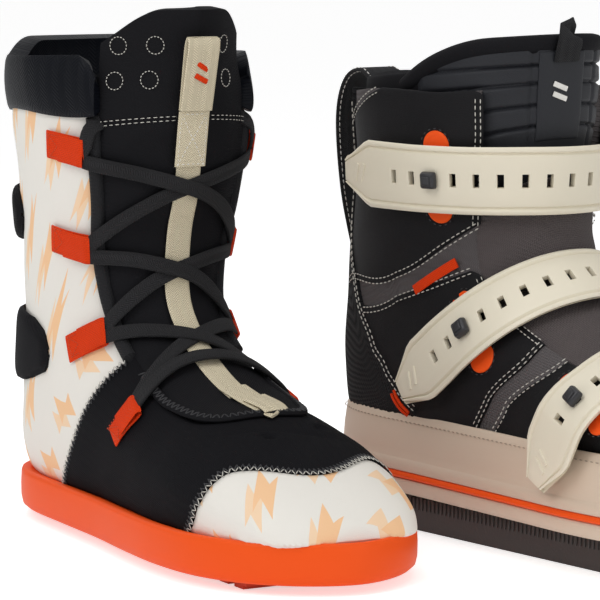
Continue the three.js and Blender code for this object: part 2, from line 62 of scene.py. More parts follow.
# ---------------------------------------------------------------- the two boot forms, in millimetres
# One section a row, from the toe tip, over the heel, to the top:
# front line y, z; back or sole line y, z; half width; squareness of the sole half.
LINER_ROWS = [
    (290, 19, 290, 13, 3, 2), (286, 30, 286, 9, 28, 3), (276, 39, 276, 8.5, 39, 3.6),
    (259, 49, 256, 8.5, 47, 4), (234, 60, 228, 8.5, 52.5, 4), (210, 68, 196, 8.5, 54, 4),
    (186, 74, 163, 8.5, 51, 4), (165, 81, 131, 8.5, 48, 4), (147, 90, 99, 8.5, 46, 4),
    (132, 101, 67, 8.5, 45.5, 4), (122, 113, 36, 9, 45, 3.6), (119, 126, 12, 20, 44.5, 3),
    (120, 139, 4, 48, 44, 2.6), (123, 153, 4, 82, 44.5, 2.3), (129, 168, 7, 116, 47, 2.2),
    (132, 184, 8, 148, 50, 2.2), (135, 201, 7, 178, 53, 2.2), (138, 217, 5, 205, 55, 2.2),
    (141, 234, 3, 228, 56, 2.2), (146, 257, 2, 255, 56, 2.2),
]
OUTER_ROWS = [
    (308, 42, 308, 36, 3, 2), (304, 56, 304, 32, 32, 3), (294, 68, 294, 31, 46, 3.6),
    (277, 80, 275, 31, 54, 4), (252, 90, 246, 31, 57.5, 4), (226, 98, 212, 31, 57, 4),
    (202, 105, 176, 31, 54, 4), (181, 112, 142, 31, 51, 4), (163, 121, 108, 31, 48.5, 4),
    (150, 131, 72, 31, 47.5, 4), (143, 142, 38, 32, 47, 3.6), (141, 154, 12, 44, 46.5, 3),
    (141, 167, 3, 72, 46.5, 2.6), (142, 178, 2, 105, 47, 2.3), (143, 190, 5, 139, 48.5, 2.2),
    (145, 202, 10, 170, 50, 2.2), (146, 214, 9, 194, 51, 2.2), (147, 226, 8, 212, 51.5, 2.2),
    (148, 237, 8, 227, 52, 2.2), (149, 248, 7, 242, 52, 2.2),
]
# Sole outlines: y from the heel and half width, heel to toe.
LINER_OUTLINE = [
    (3, 0), (6, 19), (14, 30.5), (27, 39.5), (48, 45.8), (90, 48.5), (130, 51),
    (170, 55.5), (205, 58), (238, 55.5), (266, 44), (285, 24), (293, 0),
]
OUTER_OUTLINE = [
    (0.5, 0), (4, 21), (11, 32), (23, 41), (48, 48.5), (92, 51.5), (134, 55),
    (176, 59), (214, 62.5), (250, 61), (282, 50), (305, 28), (314, 0),
]
TOE_IN, TOE_IN_FROM, TOE_IN_LENGTH = 6, 60, 240
LINER_WALL, OUTER_WALL = 6, 5


def ramp(x, low, high):
    t = np.clip((np.asarray(x, float) - low) / (high - low), 0, 1)
    return t * t * (3 - 2 * t)


def catmull(points, at, closed=False):
    """Points of a Catmull-Rom spline; at runs from 0 to the last point's number."""
    p = np.asarray(points, float)
    n = len(p)
    i = np.floor(at).astype(int)
    if closed:
        a, b, c, d = (p[(i + k) % n] for k in (-1, 0, 1, 2))
    else:
        i = np.clip(i, 0, n - 1)
        a, b, c, d = (p[np.clip(i + k, 0, n - 1)] for k in (-1, 0, 1, 2))
    t = (at - i)[..., None]
    v0, v1 = (c - a) / 2, (d - b) / 2
    return (2 * b - 2 * c + v0 + v1) * t**3 + (3 * c - 3 * b - 2 * v0 - v1) * t**2 + v0 * t + b


def toe_in(y):
    return -TOE_IN * (np.maximum(0, y - TOE_IN_FROM) / TOE_IN_LENGTH) ** 1.6


class BootForm:
    """A boot's surface, by row (toe to top), turn (front line to outer side) and height."""

    def __init__(self, rows, heel, turned, front_square, sole_top):
        self.sole_top = sole_top
        self.rows, self.heel, self.front_square = np.array(rows, float), np.array(heel, float), front_square
        self.cos, self.sin = math.cos(math.radians(turned)), math.sin(math.radians(turned))

    def local(self, row, turn, lift=0.0):
        row, turn = np.broadcast_arrays(np.asarray(row, float), np.asarray(turn, float))
        q = catmull(self.rows, np.clip(row, 0, len(self.rows) - 1))
        front, back, girth, square = q[..., 0:2], q[..., 2:4], q[..., 4], q[..., 5]
        span = front - back
        reach = np.linalg.norm(span, axis=-1) / 2
        rise = np.maximum(lift, -0.5 * np.minimum(reach, girth))
        c, s = np.cos(np.radians(turn)), np.sin(np.radians(turn))
        power = 2 / np.where(c > 0, self.front_square(row), square)
        along = np.sign(c) * np.abs(c) ** power * (reach + rise)
        across = np.sign(s) * np.abs(s) ** power * (girth + rise)
        yz = (front + back) / 2 + span / np.maximum(2 * reach, 1e-9)[..., None] * along[..., None]
        return np.stack([across + toe_in(yz[..., 0]), yz[..., 0], yz[..., 1]], -1)

    def world(self, p):
        """Local millimetres to metres in the shared frame."""
        x, y, z = p[..., 0], p[..., 1], p[..., 2]
        placed = [self.heel[0] + x * self.cos - y * self.sin, self.heel[1] + x * self.sin + y * self.cos, z]
        return np.stack(placed, -1) * MM

    def on(self, row, turn, out=0.0, lift=0.0):
        """A point out millimetres above the surface, in metres, and the surface's normal there."""
        row, turn = np.asarray(row, float), np.asarray(turn, float)
        by_row = self.local(row + 0.04, turn, lift) - self.local(row - 0.04, turn, lift)
        by_turn = self.local(row, turn + 0.8, lift) - self.local(row, turn - 0.8, lift)
        normal = np.cross(by_row, by_turn)
        normal /= np.maximum(np.linalg.norm(normal, axis=-1, keepdims=True), 1e-9)
        point = self.local(row, turn, lift) + normal * np.asarray(out, float)[..., None]
        x, y = normal[..., 0], normal[..., 1]
        nx, ny = x * self.cos - y * self.sin, x * self.sin + y * self.cos
        return self.world(point), np.stack([nx, ny, normal[..., 2]], -1)


LINER = BootForm(LINER_ROWS, (128, -232), -8, lambda row: 2.2 - 0.7 * ramp(row, 15.5, 18.5), 24)
OUTER = BootForm(OUTER_ROWS, (0, -135), 0, lambda row: 2.2 + 0 * row, 57)


def opening_edge(row):
    """The turn at which the liner's shaft ends beside its tongue."""
    return 43 + 11 * ramp(row, 9.8, 13.8)


def tongue_tuck(turn, row=18.0):
    """How far the tongue's side lies inside the shaft."""
    return 5.5 * ramp(np.abs(turn) - opening_edge(row), -12, 5)


def toe_seam(turn):
    return 3.1 + 0.7 * ramp(np.abs(turn), 0, 50) + 0.4 * ramp(np.abs(turn), 75, 120)


# ---------------------------------------------------------------- mesh helpers
def only(obj):
    bpy.ops.object.select_all(action="DESELECT")
    obj.select_set(True)
    bpy.context.view_layer.objects.active = obj


def face_out(obj):
    """Turn every face of a closed piece outwards."""
    only(obj)
    bpy.ops.object.mode_set(mode="EDIT")
    bpy.ops.mesh.select_all(action="SELECT")
    bpy.ops.mesh.normals_make_consistent(inside=False)
    bpy.ops.object.mode_set(mode="OBJECT")


def apply_modifier(obj, kind, **settings):
    only(obj)
    modifier = obj.modifiers.new(kind.title(), kind)
    for key, value in settings.items():
        setattr(modifier, key, value)
    bpy.ops.object.modifier_apply(modifier=modifier.name)


def grid(name, steps, place, wrap=False):
    """A grid primitive whose vertices are placed by place(u, v), with its own UV map in metres."""
    bpy.ops.object.select_all(action="DESELECT")
    bpy.ops.mesh.primitive_grid_add(x_subdivisions=steps[0], y_subdivisions=steps[1], size=2)
    obj = bpy.context.object
    obj.name = obj.data.name = name
    flat = np.array([v.co for v in obj.data.vertices])
    u, v = (flat[:, 0] + 1) / 2, (flat[:, 1] + 1) / 2
    points = place(u, v)
    columns, lines = np.rint(u * steps[0]).astype(int), np.rint(v * steps[1]).astype(int)
    table = np.zeros((steps[1] + 1, steps[0] + 1, 3))
    table[lines, columns] = points
    along = np.zeros(table.shape[:2])
    along[:, 1:] = np.cumsum(np.linalg.norm(np.diff(table, axis=1), axis=-1), 1)
    up = np.zeros(table.shape[:2])
    up[1:] = np.cumsum(np.linalg.norm(np.diff(table, axis=0), axis=-1), 0)
    middle = along[:, [steps[0] // 2]]
    obj.data.vertices.foreach_set("co", points.ravel())
    flat_uv = np.stack([(along - middle)[lines, columns], up[lines, columns]], -1)
    loops = np.zeros(len(obj.data.loops), int)
    obj.data.loops.foreach_get("vertex_index", loops)
    obj.data.uv_layers[0].data.foreach_set("uv", flat_uv[loops].ravel())
    if wrap:
        weld(obj)
    return obj


def weld(obj, distance=2e-5):
    only(obj)
    bpy.ops.object.mode_set(mode="EDIT")
    bpy.ops.mesh.select_all(action="SELECT")
    bpy.ops.mesh.remove_doubles(threshold=distance)
    bpy.ops.object.mode_set(mode="OBJECT")


def row_at(form, level, turns):
    """The rows at which a boot's surface stands at a level, in millimetres."""
    low, high = np.full(np.shape(turns), 4.0), np.full(np.shape(turns), 18.5)
    for _ in range(26):
        middle = (low + high) / 2
        under = form.local(middle, turns)[..., 2] < level
        low, high = np.where(under, middle, low), np.where(under, high, middle)
    return low


def lay(name, form, rows, turns, steps, out=0.0, wrap=False):
    """A sheet over a boot between two rows and two turns. A limit or the height may be a function.

    Below the top of the boot's sole the sheet sinks, so that it stays inside the sole.
    """

    def place(u, v):
        ends = [r if not callable(r) else 9.0 for r in rows]
        row = ends[0] + (ends[1] - ends[0]) * v
        low, high = (t(row) if callable(t) else t for t in turns)
        turn = high - (high - low) * u
        low_row, high_row = (r(turn) if callable(r) else r for r in rows)
        row = low_row + (high_row - low_row) * v
        height = out(u, v, row, turn) if callable(out) else np.full(len(u), float(out))
        point = form.on(row, turn, height)[0]
        sunk = 6 * MM * (1 - ramp(point[:, 2] / MM, form.sole_top - 3.5, form.sole_top))
        middle = form.world(np.array([toe_in(150.0), 150.0, 0.0]))
        away = point[:, :2] - middle[:2]
        point[:, :2] -= away / np.linalg.norm(away, axis=1, keepdims=True) * sunk[:, None]
        return point

    return grid(name, steps, place, wrap)


def thicken(obj, thick, bevel=0.0, segments=2, smooth=0):
    """Gives a sheet its thickness inwards, with a rounded rim."""
    apply_modifier(obj, "SOLIDIFY", thickness=thick * MM, offset=-1, use_even_offset=False)
    if bevel:
        apply_modifier(
            obj, "BEVEL", width=bevel * MM, segments=segments, limit_method="ANGLE", angle_limit=0.9
        )
    if smooth:
        apply_modifier(obj, "SUBSURF", levels=smooth, render_levels=smooth)
    return obj


def sweep(name, centre, normal, width, thick, square=3.0, around=10, ends=0.0):
    """A flat band or a round cord along a line of points in metres; width and thick may vary along it."""
    centre, normal = np.asarray(centre, float), np.asarray(normal, float)
    count = len(centre)
    tangent = np.gradient(centre, axis=0)
    tangent /= np.maximum(np.linalg.norm(tangent, axis=1, keepdims=True), 1e-9)
    side = np.cross(tangent, normal)
    side /= np.maximum(np.linalg.norm(side, axis=1, keepdims=True), 1e-9)
    up = np.cross(side, tangent)
    width, thick = (np.broadcast_to(np.asarray(x, float), count) * MM / 2 for x in (width, thick))
    shrink = np.ones(count)
    if ends:
        run = np.concatenate([[0], np.cumsum(np.linalg.norm(np.diff(centre, axis=0), axis=1))]) / MM
        near = np.clip(np.minimum(run, run[-1] - run) / ends, 0, 1)
        shrink = np.sqrt(1 - (1 - near) ** 2)
    shrink = np.maximum(shrink, 0.02)

    def place(u, v):
        i = np.rint(v * (count - 1)).astype(int)
        angle = -u * 2 * math.pi
        c, s = np.cos(angle), np.sin(angle)
        x = np.sign(c) * np.abs(c) ** (2 / square) * width[i] * shrink[i]
        y = np.sign(s) * np.abs(s) ** (2 / square) * thick[i] * shrink[i]
        return centre[i] + side[i] * x[:, None] + up[i] * y[:, None]

    obj = grid(name, (around, count - 1), place, wrap=True)
    only(obj)
    bpy.ops.object.mode_set(mode="EDIT")
    bpy.ops.mesh.select_all(action="SELECT")
    bpy.ops.mesh.fill_holes(sides=around + 4)
    bpy.ops.mesh.normals_make_consistent(inside=False)
    bpy.ops.object.mode_set(mode="OBJECT")
    return obj


def smooth_line(points, count):
    """A smooth line through points, evenly spaced."""
    points = np.asarray(points, float)
    fine = catmull(points, np.linspace(0, len(points) - 1, 40 * len(points)))
    run = np.concatenate([[0], np.cumsum(np.linalg.norm(np.diff(fine, axis=0), axis=1))])
    at = np.linspace(0, run[-1], count)
    return np.stack([np.interp(at, run, fine[:, k]) for k in range(fine.shape[1])], -1)


def on_path(form, points, count):
    """Row, turn and height along a smooth path over a boot, evenly spaced on the surface."""
    points = np.asarray(points, float)
    fine = catmull(points, np.linspace(0, len(points) - 1, 60 * len(points)))
    place, normal = form.on(
        fine[:, 0], fine[:, 1], fine[:, 2] if fine.shape[1] > 2 else np.zeros(len(fine))
    )
    run = np.concatenate([[0], np.cumsum(np.linalg.norm(np.diff(place, axis=0), axis=1))])
    at = np.linspace(0, run[-1], count)
    point = np.stack([np.interp(at, run, place[:, k]) for k in range(3)], -1)
    up = np.stack([np.interp(at, run, normal[:, k]) for k in range(3)], -1)
    return point, up / np.linalg.norm(up, axis=1, keepdims=True), run[-1] / MM


def band_on(name, form, points, width, thick, square=3.0, around=10, ends=0.0, step=3.0):
    _, _, length = on_path(form, points, 4)
    centre, normal, _ = on_path(form, points, max(4, int(length / step)))
    return sweep(name, centre, normal, width, thick, square, around, ends)


def shape_all(obj, material, body, nodes=(), angle=40):
    """Finishes a piece: smooth shading, material, the body it rides on and the CAD nodes it stands for."""
    only(obj)
    bpy.ops.object.shade_smooth_by_angle(angle=math.radians(angle))
    obj.data.materials.clear()
    obj.data.materials.append(material)
    if body:
        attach(obj, body)
    if nodes:
        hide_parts(*nodes)
    return obj


def copies(name, template, places):
    """One mesh of many copies of a small closed shape; a place is a point and three sized axes."""
    verts = np.array([v.co for v in template.data.vertices])
    faces = [list(p.vertices) for p in template.data.polygons]
    points, polygons = [], []
    for origin, axes in places:
        start = len(points) * len(verts)
        points.append(np.asarray(origin) + verts @ np.asarray(axes))
        polygons += [[start + k for k in face] for face in faces]
    mesh = bpy.data.meshes.new(name)
    mesh.from_pydata(np.concatenate(points).tolist(), [], polygons)
    obj = bpy.data.objects.new(name, mesh)
    bpy.context.scene.collection.objects.link(obj)
    bpy.data.objects.remove(template)
    return obj


def thread_bead():
    """One sewn stitch: a small rounded bead, one unit long, wide and high."""
    bpy.ops.object.select_all(action="DESELECT")
    bpy.ops.mesh.primitive_uv_sphere_add(segments=6, ring_count=5, radius=0.5, rotation=(0, math.pi / 2, 0))
    bead = bpy.context.object
    bpy.ops.object.transform_apply(location=True, rotation=True, scale=True)
    return bead


def stitch_places(form, points, pitch=3.2, length=2.3, thick=0.75, shift=0.0, out=0.3, slant=0.0):
    """Where the stitches of one sewn line lie; slant turns each across the line, as in an overlock seam."""
    _, _, whole = on_path(form, points, 4)
    count = max(3, int(whole / pitch) + 1)
    centre, normal, _ = on_path(form, points, count)
    tangent = np.gradient(centre, axis=0)
    tangent /= np.linalg.norm(tangent, axis=1, keepdims=True)
    side = np.cross(normal, tangent)
    places = []
    for k, (c, t, s, n) in enumerate(zip(centre, tangent, side, normal)):
        a = slant * (-1) ** k
        d = t * math.cos(a) + s * math.sin(a)
        w = -t * math.sin(a) + s * math.cos(a)
        places.append(
            (c + s * shift * MM + n * out * MM, (d * length * MM, w * thick * MM, n * thick * MM))
        )
    return places


def ring_places(form, row, turn, radius, count, out):
    """Where the stitches of a sewn ring lie."""
    centre, up = form.on(row, turn, out)
    beside = form.on(row, turn + 1.0, out)[0] - centre
    beside /= np.linalg.norm(beside)
    over = np.cross(up, beside)
    places = []
    for a in np.arange(count) * 2 * math.pi / count:
        spot = centre + (beside * math.cos(a) + over * math.sin(a)) * radius * MM
        d = over * math.cos(a) - beside * math.sin(a)
        places.append((spot, (d * 1.15 * MM, np.cross(up, d) * 0.5 * MM, up * 0.6 * MM)))
    return places


def sole_outline(outline, grow, count=120):
    """A closed, smooth sole outline, evenly spaced and grown outwards, in local millimetres."""
    right = [(x, y) for y, x in outline]
    left = [(-x, y) for y, x in outline[1:-1]][::-1]
    points = np.array(right + left, float)
    fine = catmull(points, np.linspace(0, len(points), 2400, endpoint=False), closed=True)
    run = np.concatenate([[0], np.cumsum(np.linalg.norm(np.diff(fine, axis=0), axis=1))])
    at = np.linspace(0, run[-1], count, endpoint=False)
    line = np.stack([np.interp(at, run, fine[:, k]) for k in range(2)], -1)
    tangent = np.roll(line, -1, 0) - np.roll(line, 1, 0)
    normal = np.stack([tangent[:, 1], -tangent[:, 0]], -1)
    normal /= np.linalg.norm(normal, axis=1, keepdims=True)
    line = line + normal * grow
    line[:, 0] += toe_in(line[:, 1])
    return line


def sole_band(name, form, outline, profile, closed_in=True, count=120):
    """A sole piece: its profile of (grow, z) runs round the outline, closed or open as a ring."""
    rings = [np.c_[sole_outline(outline, grow, count), np.full(count, z)] for grow, z in profile]
    if closed_in:
        middle = [np.array([toe_in(150.0), 150.0, z]) for z in (profile[0][1], profile[-1][1])]
        first = [middle[0] + (rings[0] - middle[0]) * k for k in (0.001, 0.5)]
        last = [middle[1] + (rings[-1] - middle[1]) * k for k in (0.5, 0.001)]
        rings = first + rings + last
    else:
        rings = rings + [rings[0]]
    table = form.world(np.stack(rings))

    def place(u, v):
        i = np.rint(v * (len(rings) - 1)).astype(int)
        j = np.rint((1 - u) * count).astype(int) % count
        return table[i, j]

    obj = grid(name, (count, len(rings) - 1), place, wrap=True)
    weld(obj, 1.2e-4 if closed_in else 2e-5)
    face_out(obj)
    return obj


# ---------------------------------------------------------------- materials
class Nodes:
    """Short ways to add and link shader nodes in one tree."""

    def __init__(self, tree):
        self.tree = tree

    def add(self, kind, inputs=(), **settings):
        node = self.tree.nodes.new("ShaderNode" + kind)
        for key, value in settings.items():
            setattr(node, key, value)
        for key, value in dict(inputs).items():
            self.put(node.inputs[key], value)
        return node

    def put(self, socket, value):
        if isinstance(value, bpy.types.NodeSocket):
            self.tree.links.new(value, socket)
        else:
            socket.default_value = value

    def math(self, operation, a, b=0.0, c=0.0):
        return self.add("Math", {0: a, 1: b, 2: c}, operation=operation).outputs[0]

    def mix(self, factor, a, b):
        node = self.add("Mix", data_type="RGBA")
        for k, value in ((0, factor), (6, a), (7, b)):
            self.put(node.inputs[k], value)
        return node.outputs[2]


def socket(tree, name, kind="NodeSocketFloat", into=True, value=None):
    made = tree.interface.new_socket(name, in_out="INPUT" if into else "OUTPUT", socket_type=kind)
    if value is not None:
        made.default_value = value
    return made


def shared_group(name, inputs, outputs, build):
    """A shader node group, built once, with named inputs (name, kind, value) and outputs (name, kind)."""
    if name in bpy.data.node_groups:
        return bpy.data.node_groups[name]
    tree = bpy.data.node_groups.new(name, "ShaderNodeTree")
    for label, kind, value in inputs:
        socket(tree, label, kind, True, value)
    for label, kind in outputs:
        socket(tree, label, kind, False)
    nodes = Nodes(tree)
    start, end = tree.nodes.new("NodeGroupInput"), tree.nodes.new("NodeGroupOutput")
    for key, value in build(nodes, start.outputs).items():
        tree.links.new(value, end.inputs[key])
    return tree


FLOAT, VECTOR = "NodeSocketFloat", "NodeSocketVector"


def woven(nodes, given):
    """Plain weave: threads go over and under each other. Size is the width of one thread."""
    split = nodes.add("SeparateXYZ", {0: given["Vector"]})
    x, y = (nodes.math("DIVIDE", split.outputs[k], given["Thread"]) for k in (0, 1))
    over = nodes.math("PINGPONG", nodes.math("ADD", nodes.math("FLOOR", x), nodes.math("FLOOR", y)), 1.0)
    round_x = nodes.math("SINE", nodes.math("MULTIPLY", nodes.math("FRACT", x), math.pi))
    round_y = nodes.math("SINE", nodes.math("MULTIPLY", nodes.math("FRACT", y), math.pi))
    warp = nodes.math("MULTIPLY", round_x, over)
    weft = nodes.math("MULTIPLY", round_y, nodes.math("SUBTRACT", 1.0, over))
    return {"Height": nodes.math("ADD", warp, weft)}


def ribbed(nodes, given):
    """Fine parallel ribs across the V direction, with small chevrons."""
    split = nodes.add("SeparateXYZ", {0: given["Vector"]})
    x, y = (nodes.math("DIVIDE", split.outputs[k], given["Thread"]) for k in (0, 1))
    slant = nodes.math("MULTIPLY", nodes.math("PINGPONG", x, 2.0), given["Chevron"])
    wave = nodes.math("FRACT", nodes.math("ADD", y, slant))
    return {"Height": nodes.math("SINE", nodes.math("MULTIPLY", wave, math.pi))}


def mottled(nodes, given):
    """Soft, uneven tone and a fine grain, for leather, rubber and wear."""
    coarse = nodes.add("TexNoise", {"Vector": given["Vector"], "Scale": given["Coarse"], "Detail": 4.0})
    cells = nodes.add(
        "TexVoronoi", {"Vector": given["Vector"], "Scale": given["Fine"]}, feature="DISTANCE_TO_EDGE"
    )
    fine = nodes.add("TexNoise", {"Vector": given["Vector"], "Scale": given["Fine"], "Detail": 3.0})
    edge = nodes.math("MINIMUM", nodes.math("MULTIPLY", cells.outputs["Distance"], 6.0), 1.0)
    return {"Tone": coarse.outputs["Fac"], "Grain": edge, "Dust": fine.outputs["Fac"]}


# One half of a printed stroke, in cells; the other half is its mirror image through the middle.
TRIANGLE = [(0.1, 0.35), (-0.28, -0.06), (0.1, 0.0)]
PRINT_CELL = 0.037


def zigzag_print(nodes, given):
    """A scattered print of small zigzag strokes in staggered rows."""
    split = nodes.add("SeparateXYZ", {0: given["Vector"]})
    y = nodes.math("DIVIDE", split.outputs[1], given["Cell"])
    shift = nodes.math("MULTIPLY", nodes.math("PINGPONG", nodes.math("FLOOR", y), 1.0), 0.5)
    x = nodes.math("ADD", nodes.math("DIVIDE", split.outputs[0], given["Cell"]), shift)
    fx, fy = (nodes.math("SUBTRACT", nodes.math("FRACT", k), 0.5) for k in (x, y))

    def stroke(dx, dy, size):
        px = nodes.math("DIVIDE", nodes.math("SUBTRACT", fx, dx), size)
        py = nodes.math("DIVIDE", nodes.math("SUBTRACT", fy, dy), size)
        halves = []
        for sign in (1.0, -1.0):
            sx, sy = nodes.math("MULTIPLY", px, sign), nodes.math("MULTIPLY", py, sign)
            edges = []
            for (ax, ay), (bx, by) in zip(TRIANGLE, TRIANGLE[1:] + TRIANGLE[:1]):
                # inside is to the left of each side
                part = nodes.math("MULTIPLY_ADD", sy, bx - ax, nodes.math("MULTIPLY", sx, ay - by))
                edges.append(nodes.math("ADD", part, -(bx - ax) * ay + (by - ay) * ax))
            halves.append(nodes.math("MINIMUM", nodes.math("MINIMUM", edges[0], edges[1]), edges[2]))
        both = nodes.math("MAXIMUM", *halves)
        return nodes.math("GREATER_THAN", both, 0.0)

    return {"Strong": stroke(0.13, 0.0, 1.0), "Soft": stroke(-0.1, -0.02, 0.85)}


def material(name, colour, rough, build=None, **shader):
    """A Principled material; build(nodes, shader node) adds the detail that changes over the surface."""
    made = bpy.data.materials.get(name)
    if made:
        return made
    made = bpy.data.materials.new(name)
    made.use_nodes = True
    made.diffuse_color = (*colour, 1)
    nodes = Nodes(made.node_tree)
    principled = made.node_tree.nodes["Principled BSDF"]
    principled.inputs["Base Color"].default_value = (*colour, 1)
    principled.inputs["Roughness"].default_value = rough
    for key, value in shader.items():
        principled.inputs[key.replace("_", " ").title().replace("Ior", "IOR")].default_value = value
    if build:
        build(nodes, principled)
    return made


def place_group(nodes, name, inputs, outputs, build, **values):
    """Put a shared node group in a material, with its own values."""
    tree = shared_group(name, inputs, outputs, build)
    node = nodes.tree.nodes.new("ShaderNodeGroup")
    node.node_tree = tree
    for key, value in values.items():
        nodes.put(node.inputs[key], value)
    return node.outputs


def weave(nodes, vector, thread):
    """Height of a plain weave."""
    return place_group(
        nodes, "Plain weave", [("Vector", VECTOR, None), ("Thread", FLOAT, 0.001)], [("Height", FLOAT)],
        woven, Vector=vector, Thread=thread,
    )["Height"]


def ribs(nodes, vector, thread, chevron=0.0):
    """Height of slanting ribs that turn back and forth."""
    inputs = [("Vector", VECTOR, None), ("Thread", FLOAT, 0.001), ("Chevron", FLOAT, 0.0)]
    return place_group(
        nodes, "Ribs", inputs, [("Height", FLOAT)], ribbed, Vector=vector, Thread=thread, Chevron=chevron
    )["Height"]


def mottle(nodes, vector, coarse, fine):
    """Uneven tone, grain and dust."""
    inputs = [("Vector", VECTOR, None), ("Coarse", FLOAT, 20.0), ("Fine", FLOAT, 900.0)]
    outputs = [("Tone", FLOAT), ("Grain", FLOAT), ("Dust", FLOAT)]
    return place_group(nodes, "Mottle", inputs, outputs, mottled, Vector=vector, Coarse=coarse, Fine=fine)


def finish_with(kind, colour, second, thread=0.001, depth=0.3, scale=22.0, fine=1400.0, tone=0.35):
    """The usual detail of a finish: a tone that varies, a weave, ribs or grain, and a matching bump. Weaves
    and ribs also get painted shade: their colour is darkened in the hollows between threads and ribs.
    """

    def build(nodes, shader):
        place = nodes.add("TexCoord")
        uv, spot = place.outputs["UV"], place.outputs["Object"]
        marks = mottle(nodes, spot, scale, fine)
        if kind == "weave":
            height = weave(nodes, uv, thread)
        elif kind == "chevron":
            height = ribs(nodes, uv, thread, 1.0)
        else:
            height = marks["Grain"] if kind == "grain" else marks["Dust"]
        shade = nodes.mix(nodes.math("MULTIPLY", marks["Tone"], tone * 2), (*colour, 1), (*second, 1))
        # painted shade: the colour falls to 65% in the low parts of the weave or ribs, where shade would
        # fall between threads
        low = nodes.mix(nodes.math("MULTIPLY_ADD", height, 0.35, 0.65), (0, 0, 0, 1), shade)
        shade = low if kind in ("weave", "chevron") else shade
        nodes.put(shader.inputs["Base Color"], shade)
        rough = shader.inputs["Roughness"].default_value
        nodes.put(shader.inputs["Roughness"], nodes.math("MULTIPLY_ADD", marks["Tone"], 0.18, rough - 0.09))
        bump = nodes.add("Bump", {"Height": height, "Strength": depth, "Distance": 0.0006})
        nodes.put(shader.inputs["Normal"], bump.outputs[0])

    return build


def printed_finish(colour, strong, soft):
    """The liner's pale cloth with its two-tone print."""

    def build(nodes, shader):
        place = nodes.add("TexCoord")
        uv, spot = place.outputs["UV"], place.outputs["Object"]
        inputs = [("Vector", VECTOR, None), ("Cell", FLOAT, 0.04)]
        outputs = [("Strong", FLOAT), ("Soft", FLOAT)]
        marks = place_group(
            nodes, "Zigzag print", inputs, outputs, zigzag_print, Vector=uv, Cell=PRINT_CELL
        )
        cloth = mottle(nodes, spot, 18.0, 1500.0)
        base = nodes.mix(
            nodes.math("MULTIPLY", cloth["Tone"], 0.5), (*colour, 1), (*[c * 0.93 for c in colour], 1)
        )
        shade = nodes.mix(marks["Soft"], base, (*soft, 1))
        shade = nodes.mix(marks["Strong"], shade, (*strong, 1))
        nodes.put(shader.inputs["Base Color"], shade)
        bump = nodes.add("Bump", {"Height": cloth["Dust"], "Strength": 0.25, "Distance": 0.0005})
        nodes.put(shader.inputs["Normal"], bump.outputs[0])

    return build


